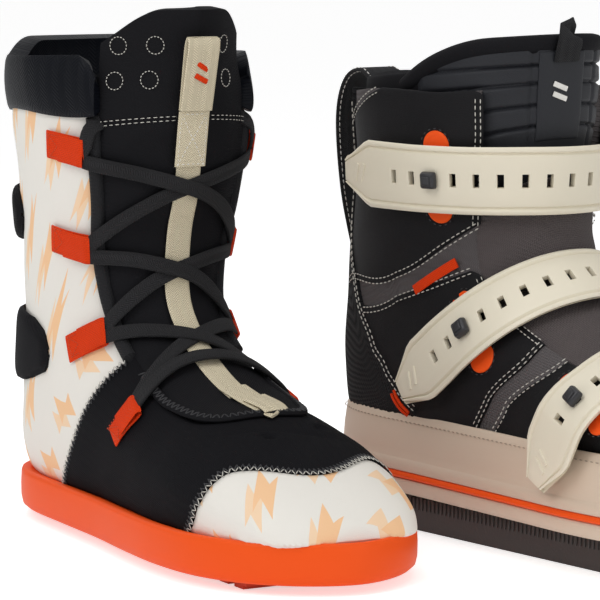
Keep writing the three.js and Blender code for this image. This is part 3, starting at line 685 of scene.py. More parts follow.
def finishes():
    """Every finish in the set, by name."""
    c = bpy.context.scene.boot_colours
    white, peach, orange, cream = tuple(c.shaft), tuple(c.bolt), tuple(c.orange), tuple(c.strap)
    black = tuple(c.black)
    grey = (0.06, 0.055, 0.057)
    web = (0.84, 0.74, 0.53)
    rand = (0.62, 0.48, 0.37)
    dim = [tuple(k * x for x in black) for k in (0.6, 1.7)]
    return {
        "printed": material("Printed fabric", white, 0.62, printed_finish(white, peach, (0.9, 0.65, 0.43))),
        "neoprene": material(
            "Neoprene", black, 0.75,
            finish_with("weave", (0.006, 0.006, 0.0075), (0.013, 0.0125, 0.015), 0.0007, 0.3),
            specular_ior_level=0.12
        ),
        "ribbed": material(
            "Ribbed neoprene", black, 0.8,
            finish_with("chevron", (0.005, 0.005, 0.0065), (0.011, 0.0105, 0.013), 0.0012, 0.4),
            specular_ior_level=0.1
        ),
        "padded": material(
            "Padded facing", black, 0.7, finish_with("weave", dim[0], dim[1], 0.0009, 0.4),
            sheen_weight=0.03, specular_ior_level=0.22
        ),
        "collar": material(
            "Glossy collar", (0.004, 0.005, 0.008), 0.42,
            finish_with("chevron", (0.003, 0.0036, 0.006), (0.006, 0.0075, 0.012), 0.0021, 0.3, 30),
            specular_ior_level=0.12
        ),
        "lining": material(
            "Lining", black, 0.9, finish_with("weave", dim[0], dim[1], 0.0012, 0.4), specular_ior_level=0.15
        ),
        "rubber": material(
            "Orange rubber", orange, 0.42,
            finish_with("dust", orange, tuple(x * 0.9 for x in orange), 0, 0.08, 9, 1200, 0.25),
            specular_ior_level=0.12
        ),
        "tread": material(
            "Tread rubber", (0.62, 0.06, 0.015), 0.6,
            finish_with("dust", (0.62, 0.06, 0.015), (0.5, 0.045, 0.012), 0, 0.15)
        ),
        "orange web": material(
            "Orange webbing", orange, 0.6,
            finish_with("weave", (0.9, 0.06, 0.006), (0.72, 0.04, 0.005), 0.0009, 0.5),
            specular_ior_level=0.1
        ),
        "cream web": material(
            "Cream webbing", web, 0.75,
            finish_with("chevron", web, tuple(x * 0.85 for x in web), 0.0012, 0.6)
        ),
        "lace": material(
            "Lace", black, 0.8, finish_with("chevron", dim[0], (0.045, 0.044, 0.048), 0.0012, 0.9),
            sheen_weight=0.03, specular_ior_level=0.25
        ),
        "white thread": material(
            "White thread", (0.6, 0.58, 0.53), 0.7,
            finish_with("dust", (0.6, 0.58, 0.53), (0.5, 0.48, 0.43), 0, 0.3)
        ),
        "dark thread": material(
            "Dark thread", (0.02, 0.02, 0.022), 0.6,
            finish_with("dust", (0.02, 0.02, 0.022), (0.04, 0.04, 0.045), 0, 0.3)
        ),
        "orange thread": material(
            "Orange thread", (0.6, 0.07, 0.015), 0.6,
            finish_with("dust", (0.6, 0.07, 0.015), (0.45, 0.05, 0.01), 0, 0.3)
        ),
        "leather": material(
            "Matte black leather", (0.012, 0.0115, 0.013), 0.6,
            finish_with("grain", (0.007, 0.0068, 0.008), (0.012, 0.0115, 0.013), 0, 0.3, 24, 1300),
            specular_ior_level=0.16
        ),
        "grey mesh": material(
            "Grey mesh", grey, 0.85,
            finish_with("weave", (0.095, 0.084, 0.085), (0.18, 0.162, 0.165), 0.0013, 0.8),
            specular_ior_level=0.3
        ),
        "brown mesh": material(
            "Brown mesh", (0.04, 0.034, 0.034), 0.85,
            finish_with("weave", (0.085, 0.07, 0.07), (0.155, 0.131, 0.13), 0.0011, 0.7),
            specular_ior_level=0.3
        ),
        "satin": material(
            "Satin padding", (0.018, 0.019, 0.024), 0.5,
            finish_with("weave", (0.014, 0.015, 0.019), (0.028, 0.03, 0.037), 0.0006, 0.2),
            specular_ior_level=0.3
        ),
        "rand thread": material(
            "Rand thread", (0.36, 0.28, 0.21), 0.7,
            finish_with("dust", (0.36, 0.28, 0.21), (0.3, 0.23, 0.17), 0, 0.2)
        ),
        "black mesh": material(
            "Black mesh", black, 0.85, finish_with("weave", dim[0], (0.03, 0.029, 0.031), 0.0014, 0.9),
            specular_ior_level=0.2
        ),
        "rand": material(
            "Rand rubber", rand, 0.5, finish_with("dust", rand, (0.68, 0.56, 0.44), 0, 0.06, 7, 900, 0.7)
        ),
        "strap": material(
            "Strap rubber", cream, 0.42,
            finish_with("dust", cream, tuple(x * 0.93 for x in cream), 0, 0.05, 14, 1100, 0.4)
        ),
        "hard": material(
            "Black moulding", (0.02, 0.02, 0.023), 0.38,
            finish_with("dust", (0.016, 0.016, 0.019), (0.032, 0.032, 0.036), 0, 0.12, 40, 700)
        ),
        "chassis": material(
            "Chassis moulding", (0.025, 0.025, 0.03), 0.5,
            finish_with("dust", (0.028, 0.024, 0.023), (0.06, 0.05, 0.047), 0, 0.2, 30, 900)
        ),
        "steel": material(
            "Dark steel", (0.18, 0.18, 0.19), 0.35,
            finish_with("dust", (0.12, 0.12, 0.13), (0.25, 0.25, 0.26), 0, 0.1), metallic=1.0
        ),
        "mark": material(
            "Pale mark", (0.8, 0.78, 0.74), 0.5,
            finish_with("dust", (0.8, 0.78, 0.74), (0.7, 0.68, 0.64), 0, 0.1)
        ),
    }


class BootColours(bpy.types.PropertyGroup):
    """The colours that a user would change."""

    shaft: FloatVectorProperty(
        name="Shaft", description="Printed shaft's ground", subtype="COLOR", default=(0.83, 0.8, 0.74)
    )
    bolt: FloatVectorProperty(
        name="Print", description="Zigzag strokes of the print", subtype="COLOR", default=(0.9, 0.56, 0.31)
    )
    orange: FloatVectorProperty(
        name="Orange", description="Cup sole, lace loops and stripe", subtype="COLOR",
        default=(0.93, 0.1, 0.012)
    )
    strap: FloatVectorProperty(
        name="Strap", description="Rubber straps", subtype="COLOR", default=(0.8, 0.735, 0.59)
    )
    black: FloatVectorProperty(
        name="Black", description="Neoprene, lace and lining", subtype="COLOR",
        default=(0.013, 0.013, 0.015)
    )


class BootSizes(bpy.types.PropertyGroup):
    """The sizes that a user would change."""

    lace_width: FloatProperty(
        name="Lace width", description="Width of the flat lace", default=0.0074, unit="LENGTH"
    )
    lace_thick: FloatProperty(
        name="Lace thickness", description="Thickness of the lace", default=0.0017, unit="LENGTH"
    )
    strap_width: FloatProperty(
        name="Strap width", description="Width of the rubber straps", default=0.033, unit="LENGTH"
    )
    strap_thick: FloatProperty(
        name="Strap thickness", description="Thickness of the straps", default=0.0032, unit="LENGTH"
    )
    stitch_pitch: FloatProperty(
        name="Stitch pitch", description="From one stitch to the next", default=0.0031, unit="LENGTH"
    )


def soft_waves(row, turn, size, seed=0.0):
    """Slight unevenness of a soft wall, in millimetres."""
    a = np.sin(row * 2.3 + seed) * np.sin(np.radians(turn) * 3.1 + seed * 2)
    b = np.sin(row * 4.7 + 1.3 * seed + np.radians(turn) * 5)
    return size * (0.65 * a + 0.35 * b)


# ---------------------------------------------------------------- liner boot
class BOOT_OT_liner_upper(bpy.types.Operator):
    """Shaft, vamp, toe panel, tongue, facings, collar and lining of the liner boot"""

    bl_idname = "boots.liner_upper"
    bl_label = "Liner upper"

    def execute(self, context):
        kit = finishes()

        def puff(depth, size=0.4, seed=0.0):
            def height(u, v, row, turn):
                dome = (4 * u * (1 - u)) ** 0.4 * (4 * v * (1 - v)) ** 0.4
                return depth * (dome - 1) + soft_waves(row, turn, size, seed)

            return height

        shaft = lay(
            "liner_shaft_skin", LINER, (8.84, 17.1), (opening_edge, lambda row: 360 - opening_edge(row)),
            (110, 44), puff(1.2, 0.7, 1.0)
        )
        shape_all(thicken(shaft, 5.6, 1.4), kit["printed"], "liner_boot", ["liner_shaft"])
        toe = lay("liner_toe_skin", LINER, (0.06, toe_seam), (-150, 150), (72, 26), puff(0.8, 0.25, 2.0))
        shape_all(thicken(toe, 5.4, 1.0), kit["printed"], "liner_boot", ["liner_toe_panel"])

        def vamp_height(u, v, row, turn):
            height = soft_waves(row, turn, 0.5, 3.0)
            for spot_row, spot_turn in ((4.4, 7), (4.75, -25)):
                away = ((row - spot_row) * 26) ** 2 + ((turn - spot_turn) * 0.8) ** 2
                height = height - 4.0 * np.exp(-away / 7) + 1.3 * np.exp(-away / 50)
            crease = np.exp(-(((row - 4.55 - 0.01 * turn) * 26) ** 2) / 5) * ramp(45 - np.abs(turn), 0, 30)
            return height - 0.9 * crease

        vamp = lay(
            "liner_vamp_front", LINER, (lambda turn: toe_seam(turn) + 0.02, 5.26), (-150, 150), (110, 30),
            vamp_height
        )
        shape_all(thicken(vamp, 5.4, 0.7), kit["ribbed"], "liner_boot", ["liner_vamp"])
        for name, turns in (("outer", (16, 150)), ("inner", (-150, -16))):
            side = lay(
                "liner_vamp_" + name, LINER, (5.2, 8.82), turns, (60, 36),
                lambda u, v, row, turn: soft_waves(row, turn, 0.5, 3.0) - 0.05 - 3 * (
                    1 - ramp(np.abs(turn), 26, 38)
                ) * ramp(row, 5.2, 5.9)
            )
            shape_all(thicken(side, 5.4, 0.7), kit["ribbed"], "liner_boot", [])

        def tongue_edge(row):
            return opening_edge(row) - 9.3 + 14 * ramp(row, 7.2, 8.6)

        def tongue_top(turn):
            return 18.98 - 0.75 * ramp(np.abs(turn), 22, 54)

        def tongue_height(u, v, row, turn):
            fold = 0.9 * np.exp(-(((row - 16.2) / 0.12) ** 2))
            sag = sum(np.exp(-(((row - at - 0.004 * turn) / 0.14) ** 2)) for at in (7.4, 8.3, 9.4, 10.6))
            pillow = 1.5 * (1 - ramp(row, 7.5, 9.0))
            return (
                soft_waves(row, turn, 0.6, 5.0) + pillow - fold - tongue_tuck(turn, row)
                - 0.5 * sag * ramp(40 - np.abs(turn), 0, 30)
            )

        tongue = lay(
            "liner_tongue_skin", LINER,
            (lambda turn: 5.24 + 1.3 * np.clip(np.abs(turn) / 36, 0, 1) ** 5, tongue_top),
            (lambda row: -tongue_edge(row), tongue_edge), (44, 120), tongue_height
        )
        shape_all(thicken(tongue, 5.8, 1.8, 3), kit["neoprene"], "liner_boot", ["liner_tongue"])
        for name, sign in (("outer", 1), ("inner", -1)):
            points = [(row, sign * (opening_edge(row) - 4.3), -1.6) for row in np.linspace(8.7, 16.55, 14)]
            facing = band_on("liner_facing_roll_" + name, LINER, points, 7.2, 7.6, 2.6, 14, 2.0)
            shape_all(facing, kit["padded"], "liner_boot", ["liner_facing_" + name])

        def collar_height(u, v, row, turn):
            beside = np.minimum(np.abs(turn - 47), np.abs(313 - turn))
            return (
                1.6 * (4 * v * (1 - v)) ** 0.5 + 0.9 + 2.5 * (1 - ramp(beside, 0, 16))
                + soft_waves(row, turn, 0.35, 7.0)
            )

        def collar_top(turn):
            beside = np.minimum(np.abs(turn - 47), np.abs(313 - turn))
            return 18.4 - 0.3 * ramp(np.abs(turn - 180), 22, 55) - 0.6 * (
                1 - np.clip(beside / 8, 0, 1) ** 0.5
            )

        def collar_low(turn):
            return 16.46 + 0.42 * ramp(133 - np.abs(turn - 180), 3, 60)

        collar = lay(
            "liner_collar_pad", LINER, (collar_low, collar_top), (47, 313), (96, 14), collar_height
        )
        shape_all(thicken(collar, 9.0, 4.2, 5), kit["collar"], "liner_boot", ["liner_collar"])
        lining = lay("liner_lining", LINER, (0.5, 17.6), (0.0, 360.0), (64, 60), -7.0, wrap=True)
        shape_all(thicken(lining, 0.8), kit["lining"], "liner_boot", [])
        return {"FINISHED"}


class BOOT_OT_liner_sole(bpy.types.Operator):
    """Orange cup sole, its tread patches and the footbed"""

    bl_idname = "boots.liner_sole"
    bl_label = "Liner sole"

    def execute(self, context):
        kit = finishes()
        profile = [
            (-12, 21), (-5, 23.2), (-1.4, 24.1), (0.2, 23.6), (0.8, 22), (1.1, 16), (1.0, 10), (0.2, 6.4),
            (-1.8, 4.6), (-5, 4.05), (-14, 4)
        ]
        cup = sole_band("liner_cup_sole", LINER, LINER_OUTLINE, profile, count=160)
        shape_all(cup, kit["rubber"], "liner_boot", ["liner_outsole"], 60)
        for node in ("liner_tread_front", "liner_tread_heel"):
            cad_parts[node].data.materials.clear()
            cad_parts[node].data.materials.append(kit["tread"])
        for node in ("liner_footbed", "footbed"):
            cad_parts[node].data.materials.clear()
            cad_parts[node].data.materials.append(kit["lining"])
        return {"FINISHED"}


LOOPS = {
    "one": (15.57, 54, 15.95, 77, 0.38), "two": (13.06, 53, 13.88, 80, 0.4),
    "three": (10.05, 44, 10.75, 69, 0.5), "four": (7.17, 52, 7.3, 78, 0.45)
}


def loop_band(name, sign, row, turn, back_row, back_turn):
    """One lace loop: a webbing band sewn down behind, folded round the lace in front."""
    path = []
    for share, out in (
        (0.0, 1.0), (0.35, 1.0), (0.7, 1.1), (0.95, 1.6), (1.06, 3.1), (0.98, 4.6), (0.8, 3.6), (0.55, 2.7),
        (0.35, 2.3)
    ):
        path.append(
            (back_row + (row - back_row) * share, sign * (back_turn + (turn - back_turn) * share), out)
        )
    return band_on(name, LINER, path, 14.0, 1.25, 5.0, 12, 0.0, 1.6)


class BOOT_OT_lacing(bpy.types.Operator):
    """Eight webbing loops and the flat lace that criss-crosses between them"""

    bl_idname = "boots.lacing"
    bl_label = "Lacing"

    def execute(self, context):
        kit = finishes()
        sizes = context.scene.boot_sizes
        for side, sign in (("outer", 1), ("inner", -1)):
            for name, (row, turn, back_row, back_turn, _) in LOOPS.items():
                node = f"liner_lace_loop_{side}_{name}"
                band = loop_band(node + "_band", sign, row, turn, back_row, back_turn)
                shape_all(band, kit["orange web"], "liner_boot", [node], 50)
        fronts = [(v[0], v[1]) for v in LOOPS.values()]
        width, thick = sizes.lace_width / MM, sizes.lace_thick / MM
        strands = []
        for sign in (1, -1):
            over = 1.5 if sign > 0 else 0.0
            for (row_a, turn_a), (row_b, turn_b) in zip(fronts, fronts[1:]):
                ends = ((row_a - 0.22, turn_a - 1), (row_b + 0.12, -turn_b + 1))
                strand = [(row_a, sign * (turn_a + 4), 2.2)]
                for share, high in ((0, 3.2), (0.25, 3.0), (0.5, 3.1 + over), (0.75, 3.0), (1, 3.2)):
                    row, turn = (ends[0][k] + (ends[1][k] - ends[0][k]) * share for k in (0, 1))
                    strand.append((row, sign * turn, high))
                strands.append([*strand, (row_b, -sign * (turn_b + 4), 2.2)])
            row, turn = fronts[0]
            strands.append(
                [
                    (row - 0.05, sign * (turn + 3), 2.6), (row + 0.2, sign * (turn - 2), 3.9),
                    (16.1, sign * 50, 3.0), (16.28, sign * 46.5, -0.5), (16.3, sign * 45, -5.0)
                ]
            )
        row, turn = fronts[3]
        strands.append(
            [
                (row, turn + 3, 2.4), (row + 0.1, turn - 8, 4.2), (row + 0.5, 20, 5.2),
                (row + 0.62, 0, 5.6), (row + 0.5, -20, 5.2), (row + 0.1, 8 - turn, 4.2),
                (row, -turn - 3, 2.4)
            ]
        )
        for number, points in enumerate(strands):
            strand = band_on(
                f"liner_lace_strand_{number + 1}", LINER, points, width, thick, 5.0, 14, 0.0, 2.0
            )
            shape_all(strand, kit["lace"], "liner_boot", ["liner_lace"] if number == 0 else [], 60)
        return {"FINISHED"}


class BOOT_OT_liner_trim(bpy.types.Operator):
    """Tongue strip and its end tab, pull loop, moulded heel pads"""

    bl_idname = "boots.liner_trim"
    bl_label = "Liner trim"

    def execute(self, context):
        kit = finishes()
        rows = np.linspace(16.5, 6.1, 22)
        strip = band_on("liner_tongue_strip_web", LINER, [(r, 0, 1.3) for r in rows], 13.2, 1.3, 5.0, 12)
        shape_all(strip, kit["cream web"], "liner_boot", ["liner_tongue_strip"], 50)
        tab = [
            (6.5, 0, 2.4), (6.0, -1, 2.6), (5.5, -3, 2.2), (5.2, -6, 1.4), (5.35, -5, 3.6), (5.8, -2, 3.9)
        ]
        end = band_on("liner_strip_end_tab", LINER, tab, 15.5, 1.4, 5.0, 12, 0, 1.6)
        shape_all(end, kit["cream web"], "liner_boot", [], 50)
        sewn = band_on(
            "liner_pull_loop_sewn_end", LINER, [(r, 0, 2.6) for r in np.linspace(16.48, 14.87, 5)], 16.5,
            1.4, 5.0, 12
        )
        shape_all(sewn, kit["cream web"], "liner_boot", [], 50)
        loop = [
            (16.52, 0, 2.7), (17.2, 0, 2.9), (17.9, 0, 3.0), (18.3, 0, 3.2), (18.44, 0, 5.0),
            (18.3, 0, 6.9), (17.9, 0, 6.4), (17.2, 0, 5.4), (16.52, 0, 4.4)
        ]
        pull = band_on("liner_pull_loop_web", LINER, loop, 17.0, 1.4, 5.0, 12, 0, 2.0)
        shape_all(pull, kit["cream web"], "pull_loop", ["liner_pull_loop"], 50)
        for number, at in enumerate((17.95, 17.6)):
            bar = band_on(
                f"liner_pull_loop_bar_{number + 1}", LINER,
                [(at, 4.0, 7.1), (at - 0.1, 0, 7.0), (at - 0.2, -4.0, 6.9)], 2.6, 0.6, 4.0, 8, 0, 1.0
            )
            shape_all(bar, kit["orange web"], "pull_loop", [], 50)
        pads = (("upper", 153, 14.5, (112, 248), 1.0), ("lower", 87, 18.5, (85, 275), 1.0))
        for name, level, half, turns, base in pads:
            middle, reach = sum(turns) / 2, (turns[1] - turns[0]) / 2

            def edge_row(turn, sign, level=level, half=half, middle=middle, reach=reach):
                x = np.clip(np.abs(turn - middle) / reach, 0, 1)
                return row_at(LINER, level + sign * half * np.maximum(1 - x**8, 0.01) ** 0.5, turn)

            def pad_height(u, v, row, turn, base=base):
                out = np.abs(2 * u - 1) ** 8 + np.abs(2 * v - 1) ** 4
                return base + 3.6 * np.clip(1 - out, 0, 1) ** 0.35

            pad = lay(
                f"liner_heel_pad_{name}_moulding", LINER,
                (lambda t: edge_row(t, -1), lambda t: edge_row(t, 1)), turns, (90, 30), pad_height
            )
            shape_all(
                thicken(pad, 1.4, 0.4), kit["neoprene"], "liner_boot", [f"liner_heel_pad_{name}"],
                60
            )
        return {"FINISHED"}


class BOOT_OT_liner_stitching(bpy.types.Operator):
    """Overlock seams, sewn rings and box stitches of the liner boot"""

    bl_idname = "boots.liner_stitching"
    bl_label = "Liner stitching"

    def execute(self, context):
        kit = finishes()
        white, dark, orange = [], [], []
        for sign in (1, -1):
            side = [(8.83, sign * t) for t in np.linspace(42, 148, 16)]
            white += stitch_places(LINER, side, 1.7, 3.6, 0.5, 0, 0.35, 1.1)
            dark += stitch_places(LINER, side, 1.3, 4.6, 0.8, 1.2 * sign, 0.15, 1.2)
        front = [(toe_seam(t) + 0.01, t) for t in np.linspace(-148, 148, 40)]
        white += stitch_places(LINER, front, 1.7, 3.4, 0.5, 0, 0.35, 1.1)
        dark += stitch_places(LINER, front, 1.3, 5.0, 0.8, -1.4, 0.15, 1.2)
        for row, turn in ((18.26, 40), (18.26, 25), (17.42, 40), (17.42, 25)):
            for sign in (1, -1) if turn < 40 else (1,):
                white += ring_places(LINER, row, sign * turn, 4.2, 16, -tongue_tuck(turn) + 0.5)
        for sign in (1, -1):
            for row in (16.3, 16.18):
                white += stitch_places(
                    LINER, [(row, sign * t, -tongue_tuck(t)) for t in (9, 20, 30, 36, 41, 46)], 3.0, 2.0,
                    0.45
                )
            for row, turn, back_row, back_turn, half in LOOPS.values():

                def corner(a, b):
                    share = 0.08 + 0.46 * a
                    level = back_row + (row - back_row) * share + (b - 0.5) * half * 1.35
                    return (level, sign * (back_turn + (turn - back_turn) * share))

                for a, b in (
                    ((0, 0), (1, 0)), ((1, 0), (1, 1)), ((1, 1), (0, 1)), ((0, 1), (0, 0)),
                    ((0, 0), (1, 1)), ((0, 1), (1, 0))
                ):
                    orange += stitch_places(LINER, [corner(*a), corner(*b)], 1.6, 1.2, 0.45, 0, 1.75)
        welt = [(5.24 + 1.3 * (abs(t) / 36) ** 5, t) for t in np.linspace(-37, 37, 40)]
        welt = [(8.0, -37.5), (7.3, -37.3), *welt, (7.3, 37.3), (8.0, 37.5)]
        roll = band_on(
            "liner_tongue_welt", LINER, [(r, t, 1.3) for r, t in welt], 5.2, 3.0, 2.2, 12, 3.0, 2.5
        )
        shape_all(roll, kit["neoprene"], "liner_boot", [])
        dark += stitch_places(LINER, welt, 1.8, 4.4, 0.8, 0, 2.7, 1.2)
        box = [(14.95, -6), (14.95, 6), (16.4, 6), (16.4, -6)]
        cream = []
        for a, b in ((0, 1), (1, 2), (2, 3), (3, 0), (0, 2), (1, 3)):
            cream += stitch_places(LINER, [box[a], box[b]], 2.2, 1.6, 0.5, 0, 3.4)
        for name, places, finish in (
            ("white", white, "white thread"), ("dark", dark, "dark thread"),
            ("loops", orange, "orange thread"), ("strip", cream, "mark")
        ):
            thread = copies("liner_thread_" + name, thread_bead(), places)
            shape_all(thread, kit[finish], "liner_boot")
        return {"FINISHED"}


# ---------------------------------------------------------------- outer boot
RAIL_FACE, RAIL_TEETH_LEVEL, RAIL_REACH, TOOTH_PITCH = 43.0, 13.2, 108, 3.0


class BOOT_OT_chassis(bpy.types.Operator):
    """Finish of the toothed chassis, its end blocks and screws"""

    bl_idname = "boots.chassis"
    bl_label = "Chassis"

    def execute(self, context):
        kit = finishes()
        for node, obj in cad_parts.items():
            if node.startswith("chassis"):
                obj.data.materials.clear()
                obj.data.materials.append(kit["steel"] if "screw" in node else kit["chassis"])
        bpy.ops.object.select_all(action="DESELECT")
        bpy.ops.mesh.primitive_cube_add(size=1)
        tooth = context.object
        apply_modifier(tooth, "BEVEL", width=0.2, segments=1)
        places = []
        for side in (1, -1):
            for y in np.arange(-RAIL_REACH, RAIL_REACH + 0.1, TOOTH_PITCH):
                places.append(
                    (
                        np.array([side * RAIL_FACE, y, RAIL_TEETH_LEVEL]) * MM,
                        (np.array([1.4, 0, 0]) * MM, np.array([0, 1.6, 0]) * MM, np.array([0, 0, 6.0]) * MM)
                    )
                )
        teeth = copies("chassis_rail_teeth", tooth, places)
        shape_all(teeth, kit["chassis"], "outer_boot", [])
        return {"FINISHED"}


class BOOT_OT_outer_sole(bpy.types.Operator):
    """Outsole lip, orange stripe and rand"""

    bl_idname = "boots.outer_sole"
    bl_label = "Outer sole"

    def execute(self, context):
        kit = finishes()
        lip = sole_band(
            "outsole_lip", OUTER, OUTER_OUTLINE,
            [(-10, 26.3), (-1, 26.3), (0.1, 25.8), (0.3, 24), (0, 20.4), (-1.4, 18.7), (-12, 18.4)],
            count=160
        )
        shape_all(lip, kit["rand"], "outer_boot", ["outsole"], 60)
        stripe = sole_band(
            "sole_stripe_band", OUTER, OUTER_OUTLINE,
            [(-10, 29.8), (0.2, 29.8), (1.0, 29.3), (1.2, 28), (1.0, 26.9), (0.2, 26.5), (-10, 26.5)],
            count=160
        )
        shape_all(stripe, kit["rubber"], "outer_boot", ["sole_stripe"], 60)
        wall = [
            (-7, 30), (0.3, 30), (0.9, 30.5), (1.0, 33), (0.9, 35.4), (0.3, 36), (0.1, 36.5), (-0.1, 40),
            (-0.5, 46), (-1.5, 53), (-2.2, 56.6), (-3.4, 58.2), (-6.2, 57.8)
        ]
        ring = sole_band("rand_wall", OUTER, OUTER_OUTLINE, wall, closed_in=False, count=160)
        shape_all(ring, kit["rand"], "outer_boot", ["rand"], 60)
        return {"FINISHED"}


def quarter_top(turn):
    return 16.6 + 0.45 * ramp(turn, 60, 110)


def top_panel_low(turn):
    return 12.05 + 0.95 * ramp(turn, 75, 128)


def top_panel_high(turn):
    return quarter_top(turn) - 0.85 * np.clip((turn - 98) / 33, 0, 1) - 0.34 * (
        1 - np.sqrt(1 - (1 - np.clip((turn - 47) / 8, 0, 1)) ** 2)
    )


def ankle_low(turn):
    return 7.15 + 0.45 * ramp(turn, 60, 97)


def ankle_high(turn):
    return 10.74 + 1.59 * (turn - 50) / 60 - 0.5 * (1 - np.clip((turn - 48.5) / 5, 0, 1) ** 0.5)


def counter_edge(row):
    return np.interp(row, [8.9, 9.9, 10.8, 11.7, 12.6, 13.6, 15], [101, 96, 96, 102, 114, 128, 138])


def stay_high(turn):
    return 6.35 + 0.9 * ramp(turn, 50, 105)


class BOOT_OT_outer_upper(bpy.types.Operator):
    """Quarters, heel counter, gusset, vamp, toe cap, overlay panels and linings of the outer boot"""

    bl_idname = "boots.outer_upper"
    bl_label = "Outer upper"

    def execute(self, context):
        kit = finishes()

        def wavy(size, seed):
            return lambda u, v, row, turn: soft_waves(row, turn, size, seed)

        for side, sign in (("outer", 1), ("inner", -1)):
            turns = (49, 150) if sign > 0 else (-150, -49)
            base = lay(
                f"quarter_{side}_base", OUTER, (5.25, lambda t: quarter_top(np.abs(t)) - 0.06), turns,
                (60, 90), wavy(0.4, 1.0)
            )
            shape_all(thicken(base, 4.8, 0.9), kit["grey mesh"], "outer_boot", [f"quarter_{side}"])

            def panel(name, low, high, span, finish, out, steps=(50, 40)):
                span = span if sign > 0 else (-span[1], -span[0])

                def height(u, v, row, turn):
                    crown = 0.5 * (16 * u * (1 - u) * v * (1 - v)) ** 0.3
                    return out + soft_waves(row, turn, 0.4, 1.0) + crown

                rows = (lambda t: low(np.abs(t)), lambda t: high(np.abs(t)))
                made = lay(f"{name}_{side}", OUTER, rows, span, steps, height)
                shape_all(thicken(made, 1.3, 0.5), kit[finish], "outer_boot", [])

            panel("top_panel", top_panel_low, top_panel_high, (47, 134), "leather", 1.0, (80, 50))
            panel("ankle_panel", ankle_low, ankle_high, (48.5, 124), "leather", 1.1, (80, 50))
            panel("toe_stay", lambda t: 5.0 + 0.4 * ramp(t, 60, 110), stay_high, (50, 112), "leather", 0.9)
        counter = lay(
            "heel_counter_cover", OUTER, (9.2, 17.1), (counter_edge, lambda row: 360 - counter_edge(row)),
            (70, 60), lambda u, v, row, turn: 2.0 + soft_waves(row, turn, 0.4, 1.0)
        )
        shape_all(thicken(counter, 2.6, 0.8), kit["black mesh"], "outer_boot", ["heel_counter"])
        stay = lay(
            "heel_stay", OUTER, (9.3, lambda t: 9.5 + 2.9 * ramp(np.abs(t - 180), 72, 38)), (110, 250),
            (60, 16), lambda u, v, row, turn: 1.7 + 0 * u
        )
        shape_all(thicken(stay, 2.2, 0.6), kit["rand"], "outer_boot", [])
        gusset = lay("gusset_cover", OUTER, (5.2, 12.85), (-49.5, 49.5), (50, 80), wavy(0.7, 4.0))
        shape_all(thicken(gusset, 4.8, 0.5), kit["brown mesh"], "outer_boot", ["gusset"])
        vamp = lay("vamp_cover", OUTER, (3.24, 5.22), (-150, 150), (80, 26), wavy(0.4, 5.0))
        shape_all(thicken(vamp, 4.8, 0.5), kit["leather"], "outer_boot", ["vamp"])
        toe = lay("toe_cap_cover", OUTER, (0.06, 3.22), (-150, 150), (80, 30), wavy(0.2, 6.0))
        shape_all(thicken(toe, 4.8, 0.8), kit["rand"], "outer_boot", ["toe_cap"])
        roll = lay(
            "collar_roll", OUTER, (14.4, lambda t: 17.7 - 0.25 * ramp(np.abs(t - 180), 0, 50)), (80, 280),
            (80, 26), lambda u, v, row, turn: -6.0 + 1.4 * (4 * v * (1 - v)) ** 0.5
        )
        shape_all(thicken(roll, 6.0, 2.4, 4), kit["neoprene"], "outer_boot", ["collar_lining"])
        lining = lay("outer_lining", OUTER, (0.5, 15.5), (0.0, 360.0), (64, 60), -6.0, wrap=True)
        shape_all(thicken(lining, 0.8), kit["lining"], "outer_boot", [])
        return {"FINISHED"}


class BOOT_OT_outer_tongue(bpy.types.Operator):
    """Padded, pleated tongue with its front tab and top loop"""

    bl_idname = "boots.outer_tongue"
    bl_label = "Outer tongue"

    def execute(self, context):
        kit = finishes()

        def top(turn):
            return 18.22 - 1.5 * np.clip((np.abs(turn) - 45) / 50, 0, 1) ** 2.2

        def pleats(u, v, row, turn):
            channel = sum(np.exp(-(((row - at) / 0.07) ** 2)) for at in (14.9, 15.75, 16.6, 17.35))
            inside = ramp(86 - np.abs(turn), 0, 6)
            seam = np.exp(-(((np.abs(turn) - 22) / 1.6) ** 2)) * ramp(row, 13.5, 14.2)
            return -5.6 + 1.8 * inside * (
                1 - np.clip(channel, 0, 1)
            ) - 1.2 * seam * inside + soft_waves(row, turn, 0.4, 2.0)

        tongue = lay("tongue_pad", OUTER, (12.2, top), (-95, 95), (126, 110), pleats)
        shape_all(thicken(tongue, 6.5, 2.4, 4), kit["satin"], "outer_boot", ["tongue"])
        rim = band_on(
            "tongue_binding", OUTER, [(float(top(t)) - 0.02, t, -7.6) for t in np.linspace(-93, 93, 32)],
            9.5, 9.0, 2.4, 14, 3.0, 3.0
        )
        shape_all(rim, kit["neoprene"], "outer_boot", [])
        tab = lay(
            "tongue_front_tab", OUTER, (14.3, 17.95), (-9, 19), (20, 40),
            lambda u, v, row, turn: -3.0 + 0.5 * (16 * u * (1 - u) * v * (1 - v)) ** 0.3
        )
        shape_all(thicken(tab, 1.2, 0.5), kit["satin"], "outer_boot", ["tongue_tab"])
        for number, at in enumerate((16.6, 16.2)):
            mark = band_on(
                f"tongue_tab_bar_{number + 1}", OUTER,
                [(at, 10, -2.1), (at - 0.12, 6, -2.1), (at - 0.24, 2, -2.1)], 2.6, 0.6, 4, 8, 0, 1.0
            )
            shape_all(mark, kit["mark"], "outer_boot", [])
        loop = [
            (17.5, 3, -2.4), (18.0, 3, -1.6), (18.5, 2, -1.6), (18.7, 1, -5.5), (18.5, 0, -10.5),
            (18.05, 0, -12.0)
        ]
        band = band_on("tongue_top_loop", OUTER, loop, 15, 1.6, 5, 12, 0, 2.0)
        shape_all(band, kit["lace"], "outer_boot", [], 50)
        return {"FINISHED"}


